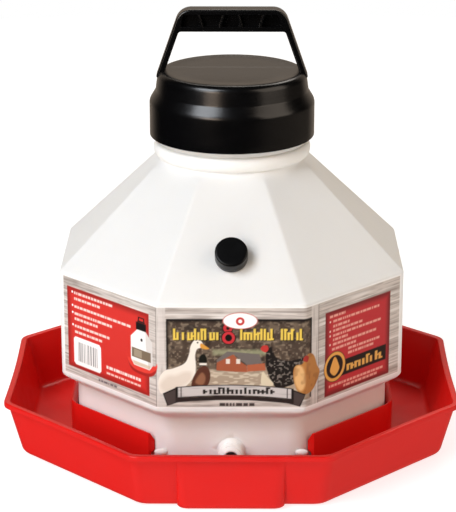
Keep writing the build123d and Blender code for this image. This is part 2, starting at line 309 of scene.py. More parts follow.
def plate(outline, depth):
    """A flat outline in X and Z, thickened evenly either side of Y."""
    count = len(outline)
    verts = [(x, -depth / 2, z) for x, z in outline] + [(x, depth / 2, z) for x, z in outline]
    faces = [tuple(range(count)), tuple(reversed(range(count, 2 * count)))]
    faces += [(i, i + count, (i + 1) % count + count, (i + 1) % count) for i in range(count)]
    return verts, faces


def place_on(obj, origin, normal):
    """Turns an object built about +Z so that it stands on a plane, and applies the move."""
    across = Vector((1, 0, 0))
    up = Vector(normal).normalized()
    back = up.cross(across)
    turn = Matrix((across, back, up)).transposed().to_4x4()
    obj.data.transform(Matrix.Translation(Vector(origin) * MM) @ turn)
    return obj


def subtract(obj, cutter):
    """Cuts one object out of another and removes the cutter."""
    modifier = obj.modifiers.new("cut", "BOOLEAN")
    modifier.operation = "DIFFERENCE"
    modifier.solver = "EXACT"
    modifier.object = cutter
    settled = bpy.data.meshes.new_from_object(obj.evaluated_get(bpy.context.evaluated_depsgraph_get()))
    obj.modifiers.clear()
    obj.data = settled
    bpy.data.objects.remove(cutter)


def cut_hole(obj, radius, origin, normal, depth):
    """Cuts a round hole through an object."""
    rod = skin(lathe([(radius, -depth), (radius, depth)], 48))
    cutter = finish_mesh("cutter", *rod, obj.data.materials[0])
    subtract(obj, place_on(cutter, origin, normal))


def rounded(obj, width, segments):
    """Rounds an object's sharp edges and keeps its flats shaded flat."""
    bevel = obj.modifiers.new("edges", "BEVEL")
    bevel.width = width * MM
    bevel.segments = segments
    bevel.angle_limit = math.radians(50)
    flats = obj.modifiers.new("flats", "WEIGHTED_NORMAL")
    flats.weight = 100
    settled = bpy.data.meshes.new_from_object(obj.evaluated_get(bpy.context.evaluated_depsgraph_get()))
    obj.modifiers.clear()
    obj.data = settled
    return obj


# Where the boss and the spout stand on the jug
SHOULDER_RUN_OUT = 59.0
SLOPE = math.atan2(SHOULDER_TOP - SHOULDER, BODY_HALF - SHOULDER_RUN_OUT)
BOSS_ORIGIN = (0, -BODY_HALF + BOSS_UP * math.cos(SLOPE), SHOULDER + BOSS_UP * math.sin(SLOPE))
BOSS_NORMAL = (0, -math.sin(SLOPE), math.cos(SLOPE))
SPOUT_LEVEL = 27.5
SPOUT_ORIGIN = (0, -SKIRT_HALF, SPOUT_LEVEL)


# Materials --------------------------------------------------------------------------------------
# The colour sockets of a Mix node, whose names repeat for each of its data types
FIRST, SECOND, MIXED = 6, 7, 2

# The label's colours are stored on its mesh under this name
PRINT_LAYER = "print"


def surface(name, tint=None, gloss=None, relief=(), **sockets):
    """A material whose tint, gloss and relief follow noise patterns, each sized in millimetres.

    tint: size, detail and two colours. gloss: size, detail, the noise range, and the roughness range it
    maps to. relief: rows of size, detail, strength and depth in millimetres, the coarsest first. The
    sockets are the shader's own, set directly.
    """
    material = bpy.data.materials.new(name)
    material.use_nodes = True
    tree = material.node_tree
    shader = tree.nodes["Principled BSDF"]
    for key, value in sockets.items():
        shader.inputs[key.replace("_", " ")].default_value = value
    place = node(tree, "ShaderNodeTexCoord")

    def noise(size, detail):
        pattern = {"Scale": 1 / (size * MM), "Detail": detail}
        return node(tree, "ShaderNodeTexNoise", pattern, {"Vector": place.outputs["Object"]}).outputs["Fac"]

    if tint:
        size, detail, first, second = tint
        mix = {"data_type": "RGBA", FIRST: first, SECOND: second}
        mixed = node(tree, "ShaderNodeMix", mix, {0: noise(size, detail)})
        tree.links.new(mixed.outputs[MIXED], shader.inputs["Base Color"])
    if gloss:
        size, detail, low, high, smoothest, roughest = gloss
        span = {"From Min": low, "From Max": high, "To Min": smoothest, "To Max": roughest}
        mapped = node(tree, "ShaderNodeMapRange", span, {"Value": noise(size, detail)})
        tree.links.new(mapped.outputs["Result"], shader.inputs["Roughness"])
    feeds = {}
    for size, detail, strength, depth in relief:
        feeds["Height"] = noise(size, detail)
        bump = node(tree, "ShaderNodeBump", {"Strength": strength, "Distance": depth * MM}, feeds)
        feeds["Normal"] = bump.outputs["Normal"]
    if relief:
        tree.links.new(feeds["Normal"], shader.inputs["Normal"])
    return material


def tray_plastic(colour):
    """Injection-moulded polypropylene: saturated red with soft, broad highlights.

    Flow marks shift its tint, light scuffs break up the highlights, and a faint orange peel ripples them.
    """
    return surface(
        "moulded_red_polypropylene",
        tint=(71.4, 3.0, colour, linear("D01612")),
        gloss=(16.67, 6.0, 0.3, 0.7, 0.28, 0.34),
        relief=[(3.03, 2.0, 0.04, 0.4)],
        IOR=1.49,
        Specular_IOR_Level=0.35,
        Subsurface_Weight=0.08,
        Subsurface_Scale=4.0 * MM,
        Subsurface_Radius=(1.0, 0.25, 0.2),
    )


def jug_plastic(colour):
    """Blow-moulded polyethylene: milky white with a waxy sheen, and light bleeding through its edges.

    Slow swirls vary its tint and gloss, and its skin is slightly wavy with fine marks from the mould.
    """
    return surface(
        "blown_white_polyethylene",
        tint=(111.1, 4.0, colour, linear("F1EFEA")),
        gloss=(111.1, 4.0, 0.0, 1.0, 0.36, 0.5),
        relief=[(38.46, 2.0, 0.25, 0.8), (2.381, 3.0, 0.12, 0.3)],
        IOR=1.51,
        Subsurface_Weight=0.32,
        Subsurface_Scale=8.0 * MM,
        Subsurface_Radius=(1.0, 0.85, 0.7),
    )


def lid_plastic(name, colour, rough, specular):
    """Injection-moulded polypropylene: satin black, its sheen dulled in places by handling scuffs."""
    return surface(
        name,
        tint=(13.33, 8.0, colour, linear("060607")),
        gloss=(13.33, 8.0, 0.3, 0.7, rough, rough + 0.05),
        relief=[(2.0, 2.0, 0.03, 0.3)],
        IOR=1.47,
        Specular_IOR_Level=specular,
    )


def seal_rubber():
    """Compression-moulded rubber: matt near black, with a fine dusty mottle that kills any highlight."""
    return surface(
        "moulded_black_rubber",
        tint=(4.167, 5.0, linear("1C1C1D"), linear("2A2A2B")),
        relief=[(4.167, 5.0, 0.2, 0.2)],
        IOR=1.52,
        Roughness=0.75,
    )


def printed_film():
    """Printed vinyl film: the print's own colours under a thin clear coat, with a slight paper tooth."""
    material = surface(
        "printed_vinyl_film",
        relief=[(1.667, 2.0, 0.08, 0.2)],
        IOR=1.5,
        Roughness=0.42,
        Coat_Weight=0.2,
        Coat_Roughness=0.25,
    )
    tree = material.node_tree
    ink = node(tree, "ShaderNodeVertexColor", {"layer_name": PRINT_LAYER})
    tree.links.new(ink.outputs["Color"], tree.nodes["Principled BSDF"].inputs["Base Color"])
    return material


def studio_paper():
    """Seamless paper: near white and quite matt, lifted by its own glow so that only soft shade shows."""
    return surface(
        "rolled_studio_paper",
        tint=(333.3, 3.0, linear("BCBCBC"), linear("B8B8B8")),
        Roughness=0.9,
        Specular_IOR_Level=0.1,
        Emission_Color=(1.0, 1.0, 1.0, 1.0),
        Emission_Strength=0.74,
    )


# Tray -------------------------------------------------------------------------------------------
# The outside of the wall where it would meet the floor, and the round at its foot
TRAY_FOOT_HALF = 171.5
TRAY_FOOT_ROUND = 8.0
LIP_UNDERSIDE = 43.5
LIP_ROUND = 1.1
RIM_ROUND = 1.2
SEAT_HALF = 124.0

# The drinking bay: half its width, its corners, where it meets the wall, and its reach and lean forward
BAY_HALF = 42.0
BAY_CORNER = 9.0
BAY_SIDE = 44.5
BAY_MARGIN = 8.0
BAY_REACH = 180.4
BAY_LEAN = 2.1

FRONT_FACE = 6


def tray_half(z, draft):
    """Half the tray's outside width at a level, below its lip."""
    return TRAY_FOOT_HALF + z * math.tan(draft)


def bay_push(z, draft):
    """How far the bay's front stands out of the drafted wall at a level."""
    reach = BAY_REACH + BAY_LEAN * z / LIP_UNDERSIDE
    return max(0.0, reach - tray_half(z, draft))


def tray_flat(push, inset, bow):
    """Points along each flat of a tray ring: the front one carries the bay, the others bow inward."""

    def flat(face, half):
        if face != FRONT_FACE:
            places = np.linspace(-0.96, 0.96, 22) * half
            return places, -bow * np.cos(places / half * math.pi / 2)
        corner = BAY_CORNER - inset
        edge = BAY_HALF - inset
        side = []
        for turn in np.radians(np.linspace(90, 0, 8)):
            side.append((edge - corner + corner * math.cos(turn), push * math.sin(turn)))
        run = [(BAY_MARGIN, push), (edge - corner - BAY_MARGIN, push)] + side
        run.append((BAY_SIDE + BAY_MARGIN, 0.0))
        places = np.array([-p for p, _ in reversed(run)] + [p for p, _ in run])
        pushes = np.array([q for _, q in reversed(run)] + [q for _, q in run])
        # on a short flat the bay is narrowed so that its points stay between the corners
        return places * min(1.0, 0.95 * half / places[-1]), pushes

    return flat


def tray_rings(settings):
    """Closed rings of the tray: out from under its seat, up its wall, over the lip and back to the seat."""
    tilt, wall, bow = settings.draft, settings.wall / MM, settings.bow / MM
    slope = math.tan(tilt)
    foot, inner_foot = TRAY_FOOT_ROUND, TRAY_FOOT_ROUND - wall
    foot_x = TRAY_FOOT_HALF - (foot - foot * math.sin(tilt)) / math.cos(tilt)
    outer_foot = arc((foot_x, foot), foot, -90, -math.degrees(tilt), 7)
    inside = TRAY_FOOT_HALF - wall / math.cos(tilt)
    rise = wall + inner_foot
    inner_x = inside + rise * slope - inner_foot / math.cos(tilt)
    inner_foot_arc = arc((inner_x, rise), inner_foot, -math.degrees(tilt), -90, 7)
    lip, top, seat = TRAY_HALF, TRAY_HEIGHT, SEAT_HEIGHT
    under, rim = LIP_UNDERSIDE, RIM_ROUND
    rim_inner = inside + (top - rim) * slope
    # each row: half width, level, corner radius, bay push, inset of the bay, share of the bow
    # the recess under the seat, the foot ring and the outside of the wall
    rows = [(119.5, 7.5, 24, 0, 0, 0), (121.2, 7.1, 24, 0, 0, 0), (121.5, 0.6, 24, 0, 0, 0)]
    rows += [(122.2, 0.0, 24, 0, 0, 0), (148.0, 0.0, 14, 0, 0, 0)]
    rows += [(x, z, 14, bay_push(z, tilt), 0, 0) for x, z in outer_foot]
    for z in (14, 20, 28, 36, 42.2):
        rows.append((tray_half(z, tilt), z, 14, bay_push(z, tilt), 0, (z / top) ** 2))
    # the lip: its fillet, its underside, its outer edge and the rim's rounds
    rows.append((tray_half(under - 0.7, tilt) + 0.15, under - 0.5, 14, 0, 0, 0.9))
    rows.append((tray_half(under - 0.3, tilt) + 0.7, under - 0.1, 14, 0, 0, 0.9))
    rows += [(lip - 0.8, under, 15, 0, 0, 1), (lip - 0.2, under + 0.2, 15, 0, 0, 1)]
    rows.append((lip, under + 0.8, 15, 0, 0, 1))
    edge = arc((lip - LIP_ROUND, top - LIP_ROUND), LIP_ROUND, 0, 90, 4)
    rows += [(x, z, 15, 0, 0, 1) for x, z in edge]
    rows += [(x, z, 14, 0, wall, 1) for x, z in arc((rim_inner + 1.3, top - rim), rim, 90, 180, 4)]
    # the inside of the wall and the floor, then up the side of the seat
    for z in (42, 36, 28, 20, 14):
        rows.append((inside + z * slope, z, 13, bay_push(z, tilt), wall, (z / top) ** 2))
    rows += [(x, z, 12, bay_push(z, tilt), wall, 0) for x, z in inner_foot_arc]
    rows += [(150.0, wall, 12, 0, wall, 0), (128.0, wall, 22, 0, 0, 0)]
    rows.append((SEAT_HALF + 0.6, wall, 23, 0, 0, 0))
    rows += [(SEAT_HALF, 3.2, 24, 0, 0, 0), (SEAT_HALF, seat - 1.5, 24, 0, 0, 0)]
    rows += [(SEAT_HALF - 0.5, seat - 0.5, 24, 0, 0, 0), (SEAT_HALF - 2, seat - 0.1, 23, 0, 0, 0)]
    return [
        octagon_ring(x, corner, z, tray_flat(push, inset, bow * share))
        for x, z, corner, push, inset, share in rows
    ]


# The collar: half its outside width, its corners and top, where its two ends stand and their slant
COLLAR_HALF = 133.0
COLLAR_CORNER = 24.0
COLLAR_TOP = 40.5
COLLAR_END = (66.0, 122.0)
COLLAR_CUT = HALF_TURN


def collar_mesh():
    """The collar: a wall with a lead-in chamfer and a snap bead, swept round the jug, open at the front."""
    # depth in from the outside, and level: up the outside, over the chamfer, round the bead and down
    profile = [(0.0, 2.0), (0.0, 40.0), (0.2, 40.4), (0.9, COLLAR_TOP), (1.5, 40.2), (4.6, 34.2)]
    profile += [(4.9, 33.2), (4.9, 26.3), (4.6, 25.5), (2.5, 23.9), (2.0, 23.0), (2.0, 2.0)]
    corner_steps = 12
    path = []
    reach = (COLLAR_HALF - COLLAR_CORNER) / math.cos(HALF_TURN)
    for k in range(-1, 6):
        at = HALF_TURN + math.radians(SIDE_TURN * k)
        for step in range(corner_steps + 1):
            turn = math.radians(SIDE_TURN * (k + step / corner_steps))
            cos, sin = math.cos(turn), math.sin(turn)
            spot = (reach * math.cos(at) + COLLAR_CORNER * cos, reach * math.sin(at) + COLLAR_CORNER * sin)
            # the open front is left out
            if spot[1] > -COLLAR_END[1] + 12 or abs(spot[0]) > COLLAR_END[0] + 6:
                path.append((spot, (cos, sin)))
    rows = []
    for side in (1, -1):
        end = []
        for depth, z in profile:
            run = depth / math.cos(math.radians(SIDE_TURN) - COLLAR_CUT)
            x = side * (COLLAR_END[0] - run * math.cos(COLLAR_CUT))
            end.append((x, -COLLAR_END[1] + run * math.sin(COLLAR_CUT), z))
        rows.append(end)
    middle = [[(s[0] - d * n[0], s[1] - d * n[1], z) for d, z in profile] for s, n in path]
    return skin([rows[0]] + middle + [rows[1]])


class WATERER_OT_tray(bpy.types.Operator):
    """Builds the drinking tray with its lip, bay, seat and collar."""

    bl_idname = "waterer.tray"
    bl_label = "Tray"

    def execute(self, context):
        settings = context.scene.waterer_tray
        plastic = tray_plastic(settings.colour)
        tray = finish_mesh("drinking_tray", *skin(tray_rings(settings)), plastic, 40)
        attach(tray, "tray")
        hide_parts("base_tray")
        collar = finish_mesh("jug_collar", *collar_mesh(), plastic, 40)
        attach(collar, "tray")
        return {"FINISHED"}


# Jug --------------------------------------------------------------------------------------------
# The jug's rounds and their levels, where its shoulder meets the neck, and the bead under the lid
FOOT_ROUND = 6.0
WAIST_ROUND = 3.5
WAIST_LEVEL = 54.6
WAIST_CORNER = 22.0
BODY_ROUND = 5.0
BODY_FOOT = 67.5
SHOULDER_ROUND = 3.0
SHOULDER_EDGE = 153.8
NECK_ROOT = (64.5, 231.4)
BEAD_CENTRE = (60.2, 244.4)
BEAD_HALF = (4.0, 5.9)
LIP_EDGE = 1.2

# The spout's and the boss's threaded tubes
TUBE_RADIUS = 8.6
TUBE_BORE = 5.4
TUBE_FLOOR = -2.6
SPOUT = {"length": 15.0, "flare": 11.3, "tip": 7.4}
BOSS = {"length": 8.0, "flare": 10.2, "tip": 7.8}
SPOUT_THREAD = 4.2
SPOUT_TURNS = 2.75


def jug_profile(ridge, inset):
    """(half width, level, corner radius, roundness) of the jug's wall from its foot to its neck root."""
    sharp = ridge - inset * 0.6
    soft = SKIRT_CORNER - inset
    # the skirt: the round at its foot, its side, and the waist where the body steps out
    foot = arc((SKIRT_HALF - FOOT_ROUND, SEAT_HEIGHT + FOOT_ROUND), FOOT_ROUND - inset, -90, 0, 6)
    rows = [(x, z, soft, 0) for x, z in foot]
    rows += [(SKIRT_HALF - inset, z, soft, 0) for z in (30.0, 45.0, 52.0)]
    waist = arc((SKIRT_HALF + WAIST_ROUND, WAIST_LEVEL), WAIST_ROUND + inset, 180, 125, 5)
    rows += [(x, z, soft, 0) for x, z in waist]
    # the body, whose corners sharpen over its lower round
    low_round = arc((BODY_HALF - BODY_ROUND, BODY_FOOT), BODY_ROUND - inset, -60, 0, 8)
    for place, (x, z) in enumerate(low_round, 1):
        rows.append((x, z, WAIST_CORNER - place / len(low_round) * (WAIST_CORNER - ridge) - inset * 0.6, 0))
    rows += [(BODY_HALF - inset, z, sharp, 0) for z in (90.0, 120.0, 148.0)]
    turn = 90 - math.degrees(SLOPE)
    edge = arc((BODY_HALF - SHOULDER_ROUND, SHOULDER_EDGE), SHOULDER_ROUND - inset * 0.8, 0, turn, 5)
    rows += [(x, z, sharp, 0) for x, z in edge]
    # the sloped shoulder, then the bend into the round neck
    low, high = edge[-1], (NECK_ROOT[0] - inset, NECK_ROOT[1])
    steps = 6
    for step in range(1, steps + 1):
        share = step / steps
        rows.append((low[0] + (high[0] - low[0]) * share, low[1] + (high[1] - low[1]) * share, sharp, 0))
    rows += [(62.6 - inset, 233.6, 6, 0.3), (61.2 - inset, 235.6, 8, 0.65), (60.5 - inset, 237.4, 10, 1.0)]
    return rows


def parted_flat(height):
    """Evenly spaced points along each flat, with the mould's parting line up the two sides."""

    def flat(face, half):
        places = np.array([-0.8, -0.4, 0, 0, 0, 0, 0, 0.4, 0.8]) * half
        places += np.array([0, 0, -1.8, -0.7, 0, 0.7, 1.8, 0, 0])
        pushes = np.zeros(9)
        if face in (0, 4):
            pushes[4] = height
        return places, pushes

    return flat


def jug_rings(settings):
    """Closed rings of the jug: outside up to the mouth, then the hollow down to its floor."""
    flat = parted_flat(settings.parting / MM)
    plain = parted_flat(0)
    ridge = settings.ridge / MM

    def ring(half, z, corner, roundness, shape):
        made = octagon_ring(half, max(corner, 1.0), z, shape)
        if roundness:
            made = made * (1 - roundness) + circle_like(made, half, z) * roundness
        return made

    # the underside, its middle raised a little
    rings = [
        ring(half, SEAT_HEIGHT + rise, SKIRT_CORNER, 0, plain)
        for half, rise in ((96, 3.2), (104, 3), (110, 0.3), (113, 0))
    ]
    rings += [ring(*row, flat) for row in jug_profile(ridge, 0)]
    guide = rings[-1]
    # the bead under the lid, the threaded neck and its lip
    for turn in np.radians(np.linspace(-82, 86, 14)):
        out, up = BEAD_HALF[0] * math.cos(turn), BEAD_HALF[1] * math.sin(turn)
        rings.append(circle_like(guide, BEAD_CENTRE[0] + out, BEAD_CENTRE[1] + up))
    rib = thread(LID_THREAD, LID_PITCH, THREAD_TURNS, 2.1, 4.2)
    for z in np.arange(252.0, MOUTH - 1.6, 0.6):
        rings.append(circle_like(guide, NECK_RADIUS, z, rib))
    lip = arc((NECK_RADIUS - LIP_EDGE, MOUTH - LIP_EDGE), LIP_EDGE, 0, 90, 3)
    lip += arc((NECK_BORE + LIP_EDGE, MOUTH - LIP_EDGE), LIP_EDGE, 90, 180, 3)
    rings += [circle_like(guide, x, z) for x, z in lip]
    # the hollow, from the neck's bore down to the floor
    rings.append(circle_like(guide, NECK_BORE, 245.0))
    rings += [ring(*row, plain) for row in reversed(jug_profile(ridge, WALL))]
    rings.append(ring(100, SEAT_HEIGHT + WALL + 3.2, SKIRT_CORNER, 0, plain))
    return rings


def spout_profile(length, flare, tip):
    """Radius and height of a threaded tube, from its flared root over its tip and down its bore."""
    outer = [(flare, -1.0), (flare, 0.3), (flare - 1.2, 1.0), (9.0, 2.4)]
    rise = list(np.arange(2.8, length - 1.4, 0.25))
    zone = (len(outer), len(outer) + len(rise))
    outer += [(TUBE_RADIUS, z) for z in rise]
    outer += [(tip + 0.3, length - 1.0), (tip, length - 0.4), (tip - 0.4, length)]
    inner = [(TUBE_BORE + 0.5, length), (TUBE_BORE, length - 0.5), (TUBE_BORE, TUBE_FLOOR)]
    return outer + inner + [(flare - 2, TUBE_FLOOR)], zone


class WATERER_OT_jug(bpy.types.Operator):
    """Builds the jug with its neck thread, outlet spout, storage boss and foot lugs."""

    bl_idname = "waterer.jug"
    bl_label = "Jug"

    def execute(self, context):
        settings = context.scene.waterer_jug
        plastic = jug_plastic(settings.colour)
        jug = finish_mesh("jug_shell", *skin(jug_rings(settings)), plastic, 50)
        cut_hole(jug, TUBE_BORE, SPOUT_ORIGIN, (0, -1, 0), 5.0)
        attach(jug, "fount")
        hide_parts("jug")
        profile, zone = spout_profile(**SPOUT)
        rib = thread(SPOUT_THREAD, CAP_PITCH, SPOUT_TURNS, 1.3, 1.9, 0.1)
        spout = finish_mesh("outlet_spout", *closed_lathe(profile, 96, rib, zone), plastic, 50)
        place_on(spout, SPOUT_ORIGIN, (0, -1, 0))
        profile, zone = spout_profile(**BOSS)
        rib = thread(CAP_THREAD, CAP_PITCH, THREAD_TURNS, 1.3, 1.9, 0.1)
        boss = finish_mesh("storage_boss", *closed_lathe(profile, 96, rib, zone), plastic, 50)
        place_on(boss, BOSS_ORIGIN, BOSS_NORMAL)
        for piece in (spout, boss):
            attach(piece, "fount")
        for side in (-1, 1):
            lug = foot_lug(side, plastic)
            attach(lug, "fount")
        return {"FINISHED"}


def foot_lug(side, plastic):
    """A small rounded lug low on a front corner of the skirt."""
    wide, high, proud = 5.2, 2.8, 2.0
    bearing = np.linspace(0, 2 * math.pi, 32, endpoint=False)
    rings = []
    for turn in np.radians(np.linspace(0, 90, 9)):
        x, y = wide * math.cos(turn) * np.cos(bearing), high * math.cos(turn) * np.sin(bearing)
        rings.append(np.stack([x, y, np.full(32, proud * math.sin(turn))], 1))
    name = "foot_lug_left" if side < 0 else "foot_lug_right"
    lug = finish_mesh(name, *skin(rings, True, False), plastic, 60)
    return place_on(lug, (side * 56.0, -SKIRT_HALF + 1.1, 26.2), (side * 0.12, -0.99, 0))


# Label ------------------------------------------------------------------------------------------
# The film's bend round the body's ridges, how far its face stands off the wall, and where it ends
LABEL_CORNER = 5.4
LABEL_LIFT = 0.35
LABEL_FLAT = (BODY_HALF + LABEL_LIFT) * HALF_CORNER - LABEL_CORNER * HALF_CORNER
LABEL_HEIGHT = LABEL_HIGH.z - LABEL_LOW.z
LABEL_REACH = LABEL_HIGH.x - 0.4


def wrap_point(along, depth):
    """A point on the label's path: distance along it from the front's middle, and depth behind its face."""
    half = BODY_HALF + LABEL_LIFT
    side = np.sign(along)
    run = np.abs(along)
    turn = np.clip((run - LABEL_FLAT) / LABEL_CORNER, 0, math.pi / 4)
    rest = np.maximum(run - LABEL_FLAT - LABEL_CORNER * math.pi / 4, 0)
    straight = np.minimum(run, LABEL_FLAT)
    round_part = LABEL_CORNER - depth
    x = straight + round_part * np.sin(turn) + rest * math.cos(math.pi / 4)
    y = -(half - LABEL_CORNER) - round_part * np.cos(turn) + rest * math.sin(math.pi / 4)
    return side * x, y


class Print:
    """An artwork drawn in millimetres: u along the wrap, v up from the label's foot."""

    def __init__(self, us, vs, colour):
        self.u, self.v = np.meshgrid(us, vs)
        self.ink = np.empty(self.u.shape + (3,))
        self.ink[:] = colour

    def lay(self, cover, colour, strength=1.0):
        """Lays a colour, sRGB hex or linear, with a coverage from 0 to 1."""
        if isinstance(colour, str):
            colour = linear(colour)[:3]
        cover = (np.clip(cover, 0, 1) * strength)[..., None]
        self.ink = self.ink * (1 - cover) + np.asarray(colour) * cover

    def box(self, left, low, right, high, soft=0.5):
        """Coverage of a rectangle."""
        across = np.minimum(self.u - left, right - self.u)
        up = np.minimum(self.v - low, high - self.v)
        return np.clip(np.minimum(across, up) / soft + 0.5, 0, 1)

    def oval(self, u, v, wide, high, soft=0.5):
        """Coverage of an ellipse."""
        radius = np.hypot((self.u - u) / wide, (self.v - v) / high)
        return np.clip((1 - radius) * min(wide, high) / soft + 0.5, 0, 1)

    def outline(self, points, soft=0.5, round_it=True):
        """Coverage of a closed outline through a few points, smooth or straight between them."""
        points = np.array(points, float)
        if round_it:
            dense = []
            count = len(points)
            for i in range(count):
                a, b, c, d = (points[(i + k) % count] for k in (-1, 0, 1, 2))
                for t in np.linspace(0, 1, 6, endpoint=False):
                    curve = (2 * a - 5 * b + 4 * c - d) * t**2 + (3 * b - a - 3 * c + d) * t**3
                    dense.append(0.5 * (2 * b + (c - a) * t + curve))
            points = np.array(dense)
        low, high = points.min(0) - 1, points.max(0) + 1
        rows = np.where((self.v[:, 0] > low[1]) & (self.v[:, 0] < high[1]))[0]
        cols = np.where((self.u[0] > low[0]) & (self.u[0] < high[0]))[0]
        cover = np.zeros(self.u.shape)
        if not len(rows) or not len(cols):
            return cover
        part = np.ix_(rows, cols)
        u, v = self.u[part], self.v[part]
        inside = np.zeros(u.shape, bool)
        near = np.full(u.shape, 1e9)
        for (u0, v0), (u1, v1) in zip(points, np.roll(points, -1, 0)):
            crossing = (v0 > v) != (v1 > v)
            slope = (u1 - u0) / (v1 - v0) if v1 != v0 else 0
            inside ^= crossing & (u < u0 + (v - v0) * slope)
            length = max((u1 - u0) ** 2 + (v1 - v0) ** 2, 1e-9)
            t = np.clip(((u - u0) * (u1 - u0) + (v - v0) * (v1 - v0)) / length, 0, 1)
            near = np.minimum(near, np.hypot(u - u0 - t * (u1 - u0), v - v0 - t * (v1 - v0)))
        cover[part] = np.clip(np.where(inside, near, -near) / soft + 0.5, 0, 1)
        return cover

    def block(self, left, low, right, high, colour, strength=1.0, soft=0.5):
        """Lays a rectangle."""
        self.lay(self.box(left, low, right, high, soft), colour, strength)

    def disc(self, u, v, wide, high, colour):
        """Lays an ellipse."""
        self.lay(self.oval(u, v, wide, high), colour)

    def shape(self, points, colour, soft=0.5, strength=1.0, round_it=True):
        """Lays a closed outline."""
        self.lay(self.outline(points, soft, round_it), colour, strength)

    def mottle(self, cell_u, cell_v, seed):
        """Smooth value noise from 0 to 1 with the given cell size."""
        size, offset = 260, 400
        grid = np.random.RandomState(seed).rand(size, size)
        a, b = self.u / cell_u + offset, self.v / cell_v + offset
        ia, ib = np.floor(a).astype(int), np.floor(b).astype(int)
        fa, fb = smooth(0, 1, a - ia), smooth(0, 1, b - ib)
        rows, cols = (ia % size, (ia + 1) % size), (ib % size, (ib + 1) % size)
        low = grid[rows[0], cols[0]] * (1 - fa) + grid[rows[1], cols[0]] * fa
        high = grid[rows[0], cols[1]] * (1 - fa) + grid[rows[1], cols[1]] * fa
        return low * (1 - fb) + high * fb

    def row(self, left, right, v, height, code, seed, strength=0.95):
        """A row of short dashes, where a line of small print would be."""
        random = np.random.RandomState(seed)
        at = left
        while at < right - 1:
            width = min(random.uniform(1.2, 5.0), right - at)
            self.lay(self.box(at, v - height / 2, at + width, v + height / 2, 0.7), code, strength)
            at += width + random.uniform(0.6, 1.1)

    def strokes(self, left, right, low, high, code, seed, pitch=2.6, stroke=1.7):
        """A row of upright blocks joined by short bars, in place of large print."""
        random = np.random.RandomState(seed)
        at = left
        while at < right - stroke:
            top = high if random.rand() < 0.4 else low + (high - low) * 0.68
            self.lay(self.box(at, low, at + stroke, top, 0.6), code)
            if random.rand() < 0.55:
                bar = low + (top - low) * random.choice([0.08, 0.5, 0.9])
                self.lay(self.box(at, bar - 0.7, at + pitch, bar + 0.7, 0.6), code)
            at += pitch if random.rand() < 0.75 else pitch + 1.6


def paint_wood(art):
    """Weathered planks: long pale grain, darker streaks, and the two upright joints."""
    for cell, seed, strength in (((26, 0.9), 3, 0.5), ((9, 0.6), 4, 0.42), ((60, 2.6), 5, 0.4)):
        streak = smooth(0.45, 0.95, art.mottle(*cell, seed))
        art.lay(streak, "6F625A", strength)
    art.lay(smooth(0.6, 0.95, art.mottle(40, 1.3, 6)), "F5F1EC", 0.5)
    for left, right in ((-58.5, -51), (64, 72)):
        upright = art.box(left, 0, right, 90)
        art.lay(upright, "D8D0CA", 0.75)
        art.lay(upright * smooth(0.5, 0.9, art.mottle(0.8, 24, 8)), "94887F", 0.5)
    for joint in (-58.6, 72.2):
        art.block(joint - 0.35, 0, joint + 0.35, 83, "6A5E58", 0.8)


def paint_panel(art, left, low, right, high, colour, edge):
    """A plain red panel that darkens towards its edges."""
    panel = art.box(left, low, right, high)
    art.lay(panel, colour)
    near = np.minimum(np.minimum(art.u - left, right - art.u), np.minimum(art.v - low, high - art.v))
    art.lay(panel * (1 - smooth(0, 7, near)), edge, 0.8)


